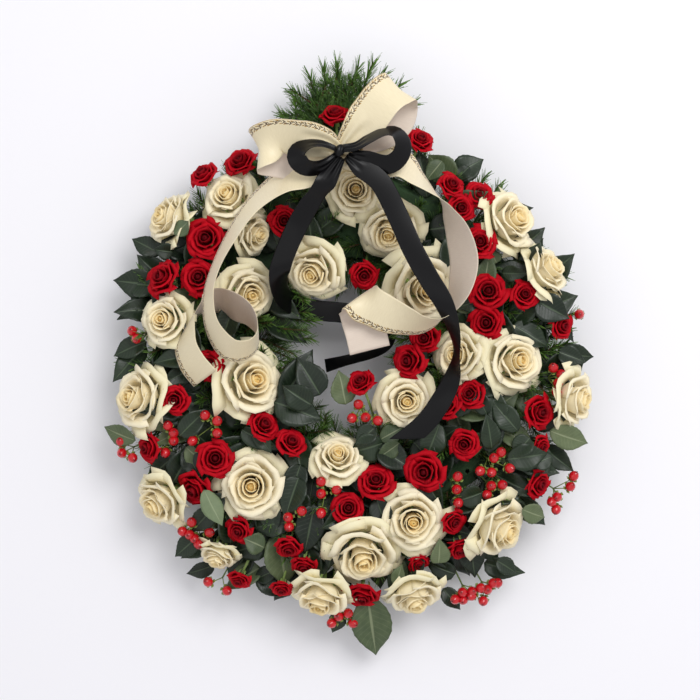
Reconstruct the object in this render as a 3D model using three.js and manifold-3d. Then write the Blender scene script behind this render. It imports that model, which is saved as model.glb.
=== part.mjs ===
// Funeral wreath: cut roses, spray roses, berries, leaves and fir stuck into a ring of floral foam,
// with a cream satin bow and a black satin bow. It lies on its back. Millimetres, +Z up.
// The origin is the middle of the ring, on the surface that the tray rests on.
import * as THREE from 'three';
import { mergeVertices } from 'three/addons/utils/BufferGeometryUtils.js';
import Module from 'manifold-3d';

const wasm = await Module();
wasm.setup();

// Driving dimensions
const FOAM_INNER = 118;
const FOAM_OUTER = 222;
const FOAM_FLOOR = 2.8;
const FOAM_TOP = 58;
const FOAM_CHAMFER = 13;
const TRAY_LIP = 14;
const TRAY_WALL = 2;
const TRAY_FLOOR = 2.4;
const TRAY_GAP = 0.6;
const RING_SEGMENTS = 24;
const STEM_END = 34; // height at which the stems stop inside the foam
const STEM_RADIUS = 2.2;
const HOLE_RADIUS = 3.3;
const HOLE_SIDES = 5;
const HOLE_DEEPER = 0.4; // free space under a stem's foot
const HOLE_BEYOND = 30; // the cut runs this far past the stem, out of the foam
const BRANCH_RADIUS = 1.3;
const BLADE = 0.9; // thickness of a leaf
const CREAM_WIDTH = 50;
const BLACK_WIDTH = 25;
const RIBBON = 1.0; // thickness of the satin
const CLEAR = 1.6; // least free space kept between the pieces of different stems
const UP = new THREE.Vector3(0, 0, 1);

// Colours
const PETAL_WHITE = 0xf3eedc;
const PETAL_RED = 0xb00a1c;
const LEAF_GREEN = 0x2b4736;
const FIR_GREEN = 0x2f5124;
const BERRY_RED = 0xb5121f;
const FOAM_GREEN = 0x3b5a3a;
const TRAY_GREEN = 0x1f2f22;
const PICK_WOOD = 0xb08d57;
const CREAM = 0xe6d7b2;
const BLACK = 0x141216;

// Full roses: x, y, z of the middle of the head, and its diameter
const WHITE_ROSES = [
  [-222, 163, 81, 62], [-147, 188, 97, 62], [-116, 143, 100, 51], [-123, 71, 100, 62],
  [-224, 39, 99, 59], [-258, -56, 85, 74], [-119, -35, 100, 80], [-119, -162, 100, 75],
  [-15, -127, 100, 57], [-234, -184, 73, 65], [-162, -250, 74, 45], [-36, -301, 73, 68],
  [16, -247, 92, 80], [76, -204, 100, 75], [79, -299, 74, 64], [184, -214, 79, 77],
  [275, -58, 79, 64], [200, -11, 100, 70], [131, -4, 100, 59], [68, -59, 100, 62],
  [240, 101, 87, 65], [196, 160, 90, 70], [90, 77, 100, 82], [48, 146, 100, 68],
  [7, 196, 100, 63], [-44, 97, 100, 65],
];

// Small red roses, several heads to a branching stem
const RED_SPRAYS = [
  [[-18, 291, 74, 32], [86, 259, 82, 29], [123, 202, 99, 30], [134, 174, 104, 30],
    [157, 191, 94, 31], [156, 132, 112, 36]],
  [[-179, 217, 78, 32], [-134, 232, 84, 34], [-174, 137, 104, 43]],
  [[-79, 158, 105, 32], [17, 93, 104, 30]],
  [[-228, 90, 95, 39], [-183, 90, 104, 39], [-171, -16, 104, 34]],
  [[167, 73, 104, 40], [165, 35, 104, 37], [211, 69, 104, 30], [258, 32, 88, 29]],
  [[90, 17, 104, 32], [71, -11, 105, 37], [13, -36, 104, 30], [145, -51, 104, 32],
    [116, -64, 104, 30], [138, -111, 104, 32], [90, -145, 104, 43]],
  [[230, -73, 97, 37], [232, -115, 88, 25], [231, -161, 78, 32], [126, -206, 96, 27],
    [135, -240, 81, 31], [84, -258, 82, 24]],
  [[31, -156, 104, 39], [-2, -189, 104, 34], [-74, -238, 93, 30], [-135, -217, 90, 30],
    [-136, -279, 72, 25], [-56, -260, 84, 27], [-84, -290, 72, 24], [15, -299, 71, 37]],
  [[-163, -129, 104, 39], [-189, -167, 90, 40], [-246, -117, 82, 32], [-71, -109, 104, 32],
    [-104, -88, 104, 34], [-212, -58, 107, 32]],
];

// Berries of each sprig: x, y, z of the middle
const BERRY_SIZE = 13;
const BERRY_SPRIGS = [
  [[-166, -80, 112], [-152, -88, 116], [-152, -102, 112], [-184, -112, 110], [-204, -84, 108],
    [-272, -112, 90]],
  [[-34, -155, 112], [-34, -171, 114], [-16, -163, 112], [-56, -190, 108], [8, -60, 104],
    [2, -76, 106], [20, -76, 106]],
  [[120, -158, 114], [155, -150, 114], [168, -130, 114], [180, -140, 112], [165, -168, 110],
    [240, -190, 74], [134, -284, 76], [144, -292, 72], [158, -286, 72]],
  [[242, -20, 106], [250, -38, 104]],
];

// Leaves of each leafy stem: base [x, y, z], tip [x, y, z], width
const LEAVES = [
  [[[-236, 80, 72], [-276, 86, 66], 36], [[-216, 122, 84], [-238, 124, 92], 22],
    [[-212, 142, 103], [-192, 158, 115], 20], [[-160, 176, 74], [-190, 160, 82], 18]],
  [[[112, 232, 90], [92, 208, 92], 22], [[146, 226, 79], [128, 210, 83], 20],
    [[178, 108, 92], [170, 124, 96], 18], [[184, 96, 92], [214, 94, 104], 20],
    [[226, 62, 98], [262, 42, 102], 34], [[254, 0, 80], [286, -10, 84], 26]],
  [[[244, -96, 80], [288, -114, 76], 30], [[222, -136, 96], [246, -126, 98], 26],
    [[172, -118, 96], [166, -76, 110], 24], [[190, -130, 96], [236, -124, 106], 30],
    [[180, -256, 65], [204, -272, 59], 22]],
  [[[-36, -52, 98], [-62, -10, 104], 38], [[-46, -64, 103], [-80, -44, 113], 32],
    [[-60, -136, 92], [-74, -184, 96], 29], [[-70, -178, 89], [-46, -196, 91], 30],
    [[-70, -250, 61], [-84, -284, 55], 34], [[28, -320, 56], [32, -364, 40], 42],
    [[56, -284, 88], [62, -260, 98], 16], [[108, -258, 79], [110, -232, 93], 24]],
  [[[-200, -116, 86], [-172, -140, 78], 30], [[-214, -84, 62], [-240, -68, 56], 24],
    [[-262, -108, 78], [-300, -96, 72], 26], [[-176, -166, 111], [-156, -208, 119], 26],
    [[-166, -188, 88], [-192, -220, 80], 28], [[-186, -226, 76], [-214, -252, 68], 26],
    [[-104, -238, 89], [-124, -228, 101], 28]],
];

// Fir twigs: where each enters the foam's side, and the tips of its sprigs
const FIR_TWIGS = [
  { hub: [0, 228, 38], tips: [[-82, 288, 56], [-52, 330, 44], [-18, 348, 40], [16, 350, 44],
    [50, 338, 48], [80, 286, 66]] },
  { hub: [-200, 100, 38], tips: [[-206, 226, 60], [-160, 250, 66], [-262, 104, 50]] },
  { hub: [-176, -130, 38], tips: [[-292, -30, 44], [-282, -104, 50], [-198, -232, 50]] },
  { hub: [123, -188, 38], tips: [[120, -286, 42], [212, -246, 46], [262, -132, 50]] },
  { hub: [206, 92, 38], tips: [[112, 276, 60], [186, 218, 60], [262, 146, 56], [288, 30, 50]] },
  { hub: [-112, 20, 36], tips: [[-68, 26, 84], [-66, -14, 66]] },
];
const FIR_RINGS = 7; // rings of needle roots along a sprig
const FIR_BARE = 0.22; // share of a sprig next to its twig that has no needles
const NEEDLE_CLEAR = 1.6; // free space round a needle, from its middle line
const NEEDLE = 21;
const FIR_SEED = 71;

// Ribbons as stations: [x, y, z] of the middle, turn of the width in plan and its tilt in degrees,
// and where the satin is gathered the share of its width
const CREAM_TAIL_LEFT = [
  [-12, 226, 160, 76, 0, 0.4], [-46, 216, 157, 62, 12, 0.8], [-80, 203, 152, 58, 38],
  [-116, 174, 148, 52, 58], [-142, 136, 146, 38, 64], [-160, 100, 147, 18, 66],
  [-168, 68, 149, 0, 66], [-164, 32, 151, -30, 64], [-144, 4, 152, -66, 60],
  [-118, 2, 152, -118, 58], [-108, 22, 150, -160, 60],
];
const CREAM_TAIL_RIGHT = [
  [16, 223, 151, 104, 0, 0.4], [56, 211, 152, 66, 12, 0.9], [94, 190, 153, 50, 20], [120, 150, 150, 40, 32],
  [136, 110, 149, 14, 38], [137, 70, 149, -22, 34], [118, 40, 148, -66, 16],
  [86, 34, 146, -96, 4], [46, 42, 144, -108, 0], [14, 56, 140, -118, -8],
];
const BLACK_TAIL_LEFT = [
  [-3.5, 226.2, 177, 4, 0, 0.4], [-28, 200, 176, 30, 6], [-46, 176, 164, 34, 10], [-62, 150, 154, 30, 12],
  [-76, 120, 146, 26, 16], [-84, 96, 138, 34, 16], [-85, 80, 120, 50, 8], [-80, 66, 98, 66, 4],
  [-64, 56, 72, 80, 4], [-38, 51, 62, 86, 6], [-6, 48, 60, 90, 6], [34, 42, 58, 96, 4],
];
const BLACK_TAIL_RIGHT = [
  [8, 226, 177, -4, 0, 0.4], [36, 198, 179, -18, 0], [56, 160, 172, -20, 0], [74, 120, 170, -24, 0],
  [94, 84, 172, -26, 0], [112, 58, 173, -24, 6], [130, 26, 166, -6, 20], [134, -4, 152, 8, 40],
  [128, -30, 143, 20, 30], [110, -62, 140, 34, 14], [88, -90, 138, 46, 6], [58, -112, 136, 56, 0],
];
const CREAM_LOOPS = [
  [-4, 238, 158, 90, 0, 0.4], [-34, 250, 171, 84, 26, 0.8], [-70, 262, 178, 80, 54],
  [-104, 262, 168, 84, 78], [-112, 254, 152, 92, 84], [-96, 244, 142, 96, 58],
  [-62, 238, 142, 96, 18, 0.9], [-26, 237, 147, 92, 0, 0.5], [4, 238, 148, 90, 0, 0.4],
  [26, 252, 158, 60, 18, 0.7], [42, 288, 172, 30, 34], [58, 318, 172, 22, 48],
  [74, 314, 158, 12, 62], [66, 286, 146, 12, 40], [44, 258, 143, 34, 10, 0.8],
  [16, 243, 142, 60, 0, 0.4],
];
const BLACK_LOOPS = [
  [-8, 238, 180, 90, 0, 0.6], [-30, 246, 189, 84, 34], [-56, 248, 191, 78, 66],
  [-65, 239, 184, 88, 82], [-52, 230, 179, 100, 60], [-30, 230, 175, 100, 20],
  [-4, 234, 175, 92, 0, 0.6], [24, 240, 177, 92, 10], [44, 254, 186, 106, 50],
  [62, 256, 189, 92, 74], [71, 242, 184, 80, 80], [56, 230, 178, 76, 50], [32, 232, 173, 84, 12],
  [10, 236, 171, 90, 0, 0.6],
];
// The knot lies over the black bow, and a wooden pick carries both bows from the foam
const KNOT = { middle: [1, 238, 172.4], radius: 11, tall: 1.2, length: 23 };
const PICK = { foot: [-34, 204, 34], top: [-2, 238, 145.2], radius: 2 };

// Small helpers for points and triangles
const vec = (p) => new THREE.Vector3(p[0], p[1], p[2]);
const degrees = (a) => (a * Math.PI) / 180;

function seeded(seed) {
  let state = seed;
  return () => {
    state = (state * 16807) % 2147483647;
    return state / 2147483647;
  };
}

function frameAlong(axis) {
  const side = Math.abs(axis.z) > 0.95 ? new THREE.Vector3(1, 0, 0) : UP;
  const u = new THREE.Vector3().crossVectors(side, axis).normalize();
  return [u, new THREE.Vector3().crossVectors(axis, u)];
}

function toSolid(points, faces) {
  return new wasm.Manifold(new wasm.Mesh({
    numProp: 3,
    vertProperties: Float32Array.from(points.flat()),
    triVerts: Uint32Array.from(faces.flat()),
  }));
}

// Skins rings of points, all with the same count; an end is a point or, with none, a flat cap.
// The columns in crossed have their quads cut along the other diagonal.
function skin(first, rings, last, crossed = []) {
  const points = rings.flat();
  const n = rings[0].length;
  const at = (i, j) => i * n + (j % n);
  const faces = [];
  const close = (i, tip, turn) => {
    if (tip) points.push(tip);
    for (let j = tip ? 0 : 1; j < (tip ? n : n - 1); j += 1) {
      const face = [tip ? points.length - 1 : at(i, 0), at(i, j), at(i, j + 1)];
      faces.push(turn ? face.reverse() : face);
    }
  };
  close(0, first, true);
  close(rings.length - 1, last, false);
  for (let i = 0; i + 1 < rings.length; i += 1) {
    for (let j = 0; j < n; j += 1) {
      const [a, b, c, d] = [at(i, j), at(i, j + 1), at(i + 1, j + 1), at(i + 1, j)];
      faces.push(...(crossed.includes(j) ? [[a, b, c], [a, c, d]] : [[a, b, d], [b, c, d]]));
    }
  }
  return { points, faces };
}

// Drops loose scraps and fills sealed hollows that joining can leave
function oneBody(solid) {
  return solid.decompose().sort((a, b) => b.volume() - a.volume())[0];
}

function ringAt(centre, axis, radius, sides, turn = 0, [u, v] = frameAlong(axis)) {
  return Array.from({ length: sides }, (_, j) => {
    const a = turn + (2 * Math.PI * j) / sides;
    return centre.clone().addScaledVector(u, radius * Math.cos(a))
      .addScaledVector(v, radius * Math.sin(a)).toArray();
  });
}

// A round rod through the given points, with a flat cap at each end and no twist on its way
function rod(path, radius, sides, endRadius = radius) {
  let u = null;
  const rings = path.map((p, i) => {
    const before = path[Math.max(i - 1, 0)];
    const after = path[Math.min(i + 1, path.length - 1)];
    const axis = after.clone().sub(before).normalize();
    const r = radius + ((endRadius - radius) * i) / (path.length - 1);
    u = u ? u.clone().addScaledVector(axis, -u.dot(axis)).normalize() : frameAlong(axis)[0];
    return ringAt(p, axis, r, sides, 0, [u, new THREE.Vector3().crossVectors(axis, u)]);
  });
  const { points, faces } = skin(null, rings, null);
  return toSolid(points, faces);
}

// Free space: what is already there is kept as balls and rods, each with its own radius
const taken = [];
const keep = (a, b, r, owner) => taken.push({ a: a.clone(), b: b.clone(), r, owner });

function distanceToBar(p, { a, b }) {
  const dx = b.x - a.x;
  const dy = b.y - a.y;
  const dz = b.z - a.z;
  const square = dx * dx + dy * dy + dz * dz;
  const along = (p.x - a.x) * dx + (p.y - a.y) * dy + (p.z - a.z) * dz;
  const t = square > 0 ? Math.min(1, Math.max(0, along / square)) : 0;
  return Math.hypot(p.x - a.x - t * dx, p.y - a.y - t * dy, p.z - a.z - t * dz);
}

function freeAround(p, q, bars) {
  let best = Infinity;
  const steps = Math.max(2, Math.ceil(p.distanceTo(q) / 5));
  const s = new THREE.Vector3();
  for (let i = 0; i <= steps; i += 1) {
    s.lerpVectors(p, q, i / steps);
    for (const bar of bars) best = Math.min(best, distanceToBar(s, bar) - bar.r);
  }
  return best;
}

// What others have taken within reach of a place
function othersNear(middle, reach, owner) {
  return taken.filter((bar) => bar.owner !== owner
    && distanceToBar(middle, bar) < reach + bar.r);
}

function insideFoam(p, margin = 0) {
  const r = Math.hypot(p.x, p.y);
  return r > FOAM_INNER - margin && r < FOAM_OUTER + margin && p.z < FOAM_TOP + margin;
}

// Flower heads

// The way that a head faces: upright on the ring, leaning out past its edges
function facing(p) {
  const r = Math.hypot(p.x, p.y);
  const lean = THREE.MathUtils.clamp((r - 195) / 75, -0.55, 1.35);
  const inner = Math.abs(lean) < 0.35 ? lean * 0.4 : lean;
  return new THREE.Vector3((p.x / r) * inner, (p.y / r) * inner, 1).normalize();
}

// Rows of a head: radius and height as shares of the diameter, how far the petals' tips stand
// out and rise, and the turn of the row in petals
const PETALS = 5;
const ROSE_TURN = 0.9; // turn from one full rose to the next, in radians
const HEAD_TURN = 1.3; // the same for the heads of a spray
const FULL_ROSE = {
  columns: 10,
  rows: [
    { r: 0.37, h: 0.13, out: 0.02, up: 0, turn: 0 },
    { r: 0.45, h: 0.4, out: 0.045, up: 0.035, turn: 0 },
    { r: 0.34, h: 0.36, out: 0, up: 0, turn: 0 },
    { r: 0.3, h: 0.58, out: 0.035, up: 0.03, turn: 0.5 },
    { r: 0.19, h: 0.5, out: 0, up: 0, turn: 0.5 },
    { r: 0.14, h: 0.7, out: 0.025, up: 0.02, turn: 0 },
  ],
  heart: 0.62,
};
const SPRAY_ROSE = {
  columns: 5,
  rows: [
    { r: 0.15, h: 0, out: 0, up: 0, turn: 0 },
    { r: 0.49, h: 0.48, out: 0, up: 0, turn: 0 },
    { r: 0.29, h: 0.42, out: 0, up: 0, turn: 0.5 },
    { r: 0.24, h: 0.7, out: 0, up: 0, turn: 0.5 },
  ],
  heart: 0.58,
};
const HEAD_MIDDLE = 0.36; // height of the middle of a head over its base, in diameters
const NECK = 0.06; // length of the neck between stem and head, in diameters
const ROSE_BALLS = [[0.26, 0.37], [0.42, 0.47]]; // balls that hold a full rose: height, radius

// With two columns to a petal its tip stands out; with one, each row is turned by half a petal
function headRings(base, axis, size, { columns, rows }, spin) {
  const [u, v] = frameAlong(axis);
  const lobed = columns > PETALS;
  return rows.map((row) => Array.from({ length: columns }, (_, j) => {
    const turned = lobed ? 0 : (Math.PI / PETALS) * 2 * row.turn;
    const a = spin + turned + (2 * Math.PI * j) / columns;
    const wave = lobed ? Math.cos(PETALS * (a - spin) + 2 * Math.PI * row.turn) : 0;
    const r = (row.r + row.out * wave) * size;
    const h = (row.h + row.up * wave) * size;
    return base.clone().addScaledVector(u, r * Math.cos(a)).addScaledVector(v, r * Math.sin(a))
      .addScaledVector(axis, h).toArray();
  }));
}

// Where a straight stem from a head ends inside the foam
const FOOT_MARGIN = [15, 22]; // least distance from the foam's inner and outer sides

function footInFoam(p) {
  const r = Math.hypot(p.x, p.y);
  const [inside, outside] = FOOT_MARGIN;
  const reach = THREE.MathUtils.clamp(r, FOAM_INNER + inside, FOAM_OUTER - outside);
  return new THREE.Vector3((p.x / r) * reach, (p.y / r) * reach, STEM_END);
}

const stems = [];

function addStem(foot, top, radius) {
  stems.push({ foot, top, radius });
}

function fullRose(x, y, z, size, spin, owner) {
  const middle = new THREE.Vector3(x, y, z);
  const foot = footInFoam(middle);
  const axis = middle.clone().sub(foot).normalize();
  const base = middle.clone().addScaledVector(axis, -HEAD_MIDDLE * size);
  const rings = headRings(base, axis, size, FULL_ROSE, spin);
  const columns = rings[0].length;
  const neck = base.clone().addScaledVector(axis, -NECK * size);
  const stem = [ringAt(foot, axis, STEM_RADIUS, columns, spin),
    ringAt(neck, axis, STEM_RADIUS, columns, spin)];
  const heart = base.clone().addScaledVector(axis, FULL_ROSE.heart * size);
  addStem(foot, neck, STEM_RADIUS);
  keep(foot, neck, STEM_RADIUS, owner);
  for (const [height, radius] of ROSE_BALLS) {
    const ball = base.clone().addScaledVector(axis, height * size);
    keep(ball, ball, radius * size, owner);
  }
  return skin(null, [...stem, ...rings], heart.toArray());
}

function sprayHead(p, size, spin, owner) {
  const axis = facing(p);
  const base = p.clone().addScaledVector(axis, -HEAD_MIDDLE * size);
  const rings = headRings(base, axis, size, SPRAY_ROSE, spin);
  const heart = base.clone().addScaledVector(axis, SPRAY_ROSE.heart * size);
  const { points, faces } = skin(null, rings, heart.toArray());
  keep(p, p, SPRAY_ROSE.rows[1].r * size, owner);
  return {
    solid: toSolid(points, faces), base: base.addScaledVector(axis, NECK * size), axis, bars: [],
  };
}

// Branching stems

const OVER_FOAM = 4; // least height of a branch over the foam
const DIPS = [6, 16, 28]; // how far below its end a branch may turn up
const BEND_COST = 10; // a bend counts as this much more length
const HUB_HEIGHT = FOAM_TOP + 9;
const MAIN_STEM = 2.0;

// A branch runs flat from its joint, over the foam, and then rises to what it carries
function branchPath(joint, end, axis, dip) {
  const below = end.clone().addScaledVector(axis, -dip);
  const r = Math.hypot(below.x, below.y);
  const overFoam = r < FOAM_OUTER + OVER_FOAM && r > FOAM_INNER - OVER_FOAM;
  if (overFoam) below.z = Math.max(below.z, FOAM_TOP + OVER_FOAM);
  return [joint.clone(), below, end.clone()];
}

function pathLength(path) {
  return path.slice(1).reduce((sum, p, i) => sum + p.distanceTo(path[i]), 0);
}

function pathRoom(path, bars) {
  let room = Infinity;
  for (let i = 0; i + 1 < path.length; i += 1) {
    for (let k = 1; k < 8; k += 1) {
      if (insideFoam(path[i].clone().lerp(path[i + 1], k / 8), 1.5)) return -1;
    }
    room = Math.min(room, freeAround(path[i], path[i + 1], bars));
  }
  return room;
}

// Grows branches from a hub, the shortest free one first, each from the nearest joint so far
function grow(hub, ends, bars) {
  const joints = [hub];
  const left = new Set(ends.keys());
  const tried = [];
  const paths = new Array(ends.length).fill(null);
  let length = 0;
  const tryFrom = (joint) => {
    for (const i of left) {
      const end = ends[i];
      const straight = [joint.clone(), end.at.clone()];
      const bent = DIPS.map((dip) => branchPath(joint, end.at, end.axis, dip));
      for (const path of [straight, ...bent]) {
        tried.push({ i, path, far: pathLength(path) + BEND_COST * path.length, free: null });
      }
    }
  };
  tryFrom(hub);
  while (left.size > 0) {
    tried.sort((a, b) => a.far - b.far);
    const next = tried.find((one) => {
      if (!left.has(one.i)) return false;
      if (one.free === null) one.free = pathRoom(one.path, bars) > BRANCH_RADIUS + 0.6;
      return one.free;
    });
    if (!next) break;
    left.delete(next.i);
    paths[next.i] = next.path;
    length += next.far;
    if (next.path.length > 2) {
      joints.push(next.path[1]);
      tryFrom(next.path[1]);
    }
  }
  return { paths, missing: left.size, length };
}

// Looks for the place over the foam from which all branches of a stem have free way
function findHub(ends, owner) {
  const mid = ends.reduce((sum, e) => sum.add(e.at), new THREE.Vector3()).divideScalar(ends.length);
  const reach = Math.max(...ends.map((e) => e.at.distanceTo(mid))) + 70;
  const bars = othersNear(mid, reach, owner);
  const round = Math.atan2(mid.y, mid.x);
  let best = { missing: Infinity, length: Infinity };
  for (let turn = 0; turn <= 36; turn += 3) {
    for (const a of [round + degrees(turn), round - degrees(turn)]) {
      for (let r = FOAM_INNER + 16; r <= FOAM_OUTER - 14; r += 9) {
        const hub = new THREE.Vector3(r * Math.cos(a), r * Math.sin(a), HUB_HEIGHT);
        const foot = hub.clone().setZ(STEM_END);
        if (freeAround(foot, hub, bars) < BRANCH_RADIUS + CLEAR + 2) continue;
        const tree = grow(hub, ends, bars);
        const better = tree.missing < best.missing
          || (tree.missing === best.missing && tree.length < best.length);
        if (better) best = { ...tree, hub, foot };
      }
    }
    if (best.missing === 0 && turn > 8) break;
  }
  return best;
}

// Joins what a stem carries to its hub; what no branch can reach freely is left out
function branching(pieces, owner) {
  const ends = pieces.map((piece) => ({ at: piece.base, axis: piece.axis }));
  const { hub, foot, paths } = findHub(ends, owner);
  let solid = rod([foot, hub.clone().setZ(hub.z + 1)], MAIN_STEM, 4, 0.85 * MAIN_STEM);
  addStem(foot, hub, MAIN_STEM);
  keep(foot, hub, MAIN_STEM, owner);
  pieces.forEach((piece, i) => {
    if (!paths[i]) return;
    solid = solid.add(rod(paths[i], BRANCH_RADIUS, 3)).add(piece.solid);
    paths[i].slice(1).forEach((p, k) => keep(paths[i][k], p, BRANCH_RADIUS, owner));
    piece.bars.forEach(([a, b, r]) => keep(a, b, r, owner));
  });
  return oneBody(solid);
}

// Berries: pointed drops on short stalks
const BERRY_ROWS = [[0.3, -0.38], [0.5, 0.06]]; // radius and height, in diameters
const BERRY_TIP = 0.62;

function berry(p) {
  const axis = facing(p);
  const rings = BERRY_ROWS.map(([r, h]) => ringAt(p.clone().addScaledVector(axis, h * BERRY_SIZE),
    axis, r * BERRY_SIZE, 5));
  const tip = p.clone().addScaledVector(axis, BERRY_TIP * BERRY_SIZE);
  const { points, faces } = skin(null, rings, tip.toArray());
  return {
    solid: toSolid(points, faces),
    base: p.clone().addScaledVector(axis, -0.3 * BERRY_SIZE),
    axis,
    bars: [[p, p, 0.56 * BERRY_SIZE]],
  };
}

// Leaves: a blade folded a little at its midrib, with a curved outline
const LEAF_OUTLINE = [[0.22, 0.74], [0.52, 1], [0.8, 0.62]];
const LEAF_DROOP = 0.1; // rise of the middle of a leaf, as a share of its length
const LEAF_FOLD = 0.16; // rise of its edges, as a share of its half width

function leaf(root, tip, width) {
  const along = tip.clone().sub(root);
  const length = along.length();
  const axis = along.clone().normalize();
  const side = new THREE.Vector3().crossVectors(UP, axis).normalize();
  const normal = new THREE.Vector3().crossVectors(axis, side);
  const spine = (t) => root.clone().addScaledVector(along, t)
    .addScaledVector(normal, LEAF_DROOP * length * 4 * t * (1 - t));
  const upper = [spine(0).toArray()];
  LEAF_OUTLINE.forEach(([t, share]) => {
    const half = (share * width) / 2;
    const edge = spine(t).addScaledVector(normal, LEAF_FOLD * half);
    upper.push(edge.clone().addScaledVector(side, half).toArray(), spine(t).toArray(),
      edge.clone().addScaledVector(side, -half).toArray());
  });
  upper.push(spine(1).toArray());
  const shift = normal.clone().multiplyScalar(-BLADE);
  const lower = upper.map((p) => vec(p).add(shift).toArray());
  const last = upper.length - 1;
  const top = [[0, 2, 1], [0, 3, 2]];
  for (let i = 1; i + 3 < last; i += 3) {
    top.push([i, i + 1, i + 4], [i, i + 4, i + 3], [i + 1, i + 2, i + 5], [i + 1, i + 5, i + 4]);
  }
  top.push([last - 3, last - 2, last], [last - 2, last - 1, last]);
  const n = upper.length;
  const faces = [...top, ...top.map(([a, b, c]) => [a + n, c + n, b + n])];
  const left = [0, ...LEAF_OUTLINE.map((_, i) => 1 + 3 * i), last];
  const right = [0, ...LEAF_OUTLINE.map((_, i) => 3 + 3 * i), last];
  for (let i = 0; i + 1 < left.length; i += 1) {
    faces.push([left[i], left[i + 1] + n, left[i] + n], [left[i], left[i + 1], left[i + 1] + n]);
    faces.push([right[i], right[i] + n, right[i + 1] + n], [right[i], right[i + 1] + n, right[i + 1]]);
  }
  return {
    solid: toSolid([...upper, ...lower], faces),
    base: root.clone().addScaledVector(axis, 1.5).addScaledVector(normal, LEAF_DROOP * 4),
    axis: new THREE.Vector3(axis.x * 0.6, axis.y * 0.6, 0.8).normalize(),
    bars: upper.map((q, i) => [vec(q), vec(q).lerp(vec(upper[Math.min(i + 1, last)]), 0.5), 2.2]),
  };
}

// Fir: a slim twig whose faces are drawn out into needles
const TWIG_RADIUS = 2.6;
const SPRIG_TAPER = [2.4, 1.1]; // radius at foot and tip
const RING_TURN = 1.05; // turn from ring to ring, in radians
const NEEDLE_LEAN = 0.75;
function sprig(root, tip, random, bars) {
  const along = tip.clone().sub(root);
  const axis = along.clone().normalize();
  const rings = [];
  for (let i = 0; i <= FIR_RINGS; i += 1) {
    const t = i / FIR_RINGS;
    const radius = THREE.MathUtils.lerp(...SPRIG_TAPER, t);
    rings.push(ringAt(root.clone().lerp(tip, t), axis, radius, 3, i * RING_TURN));
  }
  const { points, faces } = skin(root.toArray(), rings, tip.toArray());
  const skinned = [];
  const needles = [];
  faces.forEach((face) => {
    const [a, b, c] = face.map((i) => vec(points[i]));
    const foot = a.clone().add(b).add(c).divideScalar(3);
    const t = foot.clone().sub(root).dot(axis) / along.length();
    const out = new THREE.Vector3().crossVectors(b.sub(a), c.sub(a)).normalize();
    const way = out.addScaledVector(axis, NEEDLE_LEAN).normalize();
    const end = foot.clone().addScaledVector(way, NEEDLE * (0.85 + 0.25 * random()));
    const low = foot.clone().lerp(end, 0.15);
    const clear = t > FIR_BARE && !insideFoam(end, 1) && end.z > 1.5
      && freeAround(low, end, bars) > NEEDLE_CLEAR;
    if (!clear) {
      skinned.push(face);
      return;
    }
    points.push(end.toArray());
    needles.push([low, end]);
    face.forEach((i, k) => skinned.push([i, face[(k + 1) % 3], points.length - 1]));
  });
  return { solid: toSolid(points, skinned), needles };
}

function firTwig(twig, random, owner) {
  const hub = vec(twig.hub);
  const r = Math.hypot(hub.x, hub.y);
  const outwards = r > (FOAM_INNER + FOAM_OUTER) / 2 ? 1 : -1;
  const rim = outwards > 0 ? FOAM_OUTER + 7 : FOAM_INNER - 7;
  const start = new THREE.Vector3((hub.x / r) * rim, (hub.y / r) * rim, hub.z);
  const foot = start.clone().multiplyScalar((rim - outwards * 32) / rim).setZ(hub.z - 4);
  const into = start.clone().sub(foot).normalize();
  const end = start.clone().addScaledVector(into, 2);
  let solid = rod([foot, end], TWIG_RADIUS, 5, TWIG_RADIUS + 0.6);
  addStem(foot, start, TWIG_RADIUS);
  keep(foot, start, TWIG_RADIUS, owner);
  const tips = twig.tips.map(vec);
  tips.forEach((tip, i) => {
    const reach = start.distanceTo(tip) / 2 + 2 * NEEDLE;
    const bars = othersNear(start.clone().lerp(tip, 0.5), reach, owner);
    tips.filter((other) => other !== tip).forEach((other) => {
      bars.push({ a: start.clone().lerp(other, FIR_BARE), b: other, r: 2 });
    });
    const { solid: grown, needles } = sprig(start, tip, random, bars);
    keep(start, tip, 2.3, owner);
    needles.forEach(([a, b]) => keep(a, b, 0.7, `${owner} ${i}`));
    solid = solid.add(grown);
  });
  return oneBody(solid);
}

// Ribbons: a strip of satin through its stations
function ribbonFrames(stations, steps) {
  const middle = new THREE.CatmullRomCurve3(stations.map(vec), false, 'centripetal');
  const across = new THREE.CatmullRomCurve3(stations.map(([, , , turn, tilt]) => new THREE.Vector3(
    Math.cos(degrees(turn)) * Math.cos(degrees(tilt)),
    Math.sin(degrees(turn)) * Math.cos(degrees(tilt)),
    Math.sin(degrees(tilt)),
  )));
  const last = stations.length - 1;
  return Array.from({ length: steps + 1 }, (_, i) => {
    const t = i / steps;
    const along = middle.getTangent(t);
    const side = across.getPoint(t);
    side.addScaledVector(along, -side.dot(along)).normalize();
    const k = Math.min(Math.floor(t * last), last - 1);
    const [from, to] = [stations[k][5] ?? 1, stations[k + 1][5] ?? 1];
    const share = THREE.MathUtils.lerp(from, to, t * last - k);
    return {
      at: middle.getPoint(t), side, normal: new THREE.Vector3().crossVectors(along, side), share,
    };
  });
}

const UNDERSIDE = 0; // cut as the upper side is, so that a twisted strip keeps its thickness

function ribbon(stations, width, steps, owner) {
  const rings = ribbonFrames(stations, steps).map(({ at, side, normal, share }) => {
    const half = (width * share) / 2;
    for (const k of [-0.8, -0.27, 0.27, 0.8]) {
      const p = at.clone().addScaledVector(side, k * half);
      keep(p, p, width * 0.13, owner);
    }
    return [[-1, -1], [1, -1], [1, 1], [-1, 1]].map(([s, n]) => at.clone()
      .addScaledVector(side, s * half).addScaledVector(normal, (n * RIBBON) / 2).toArray());
  });
  return skin(null, rings, null, [UNDERSIDE]);
}

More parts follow.
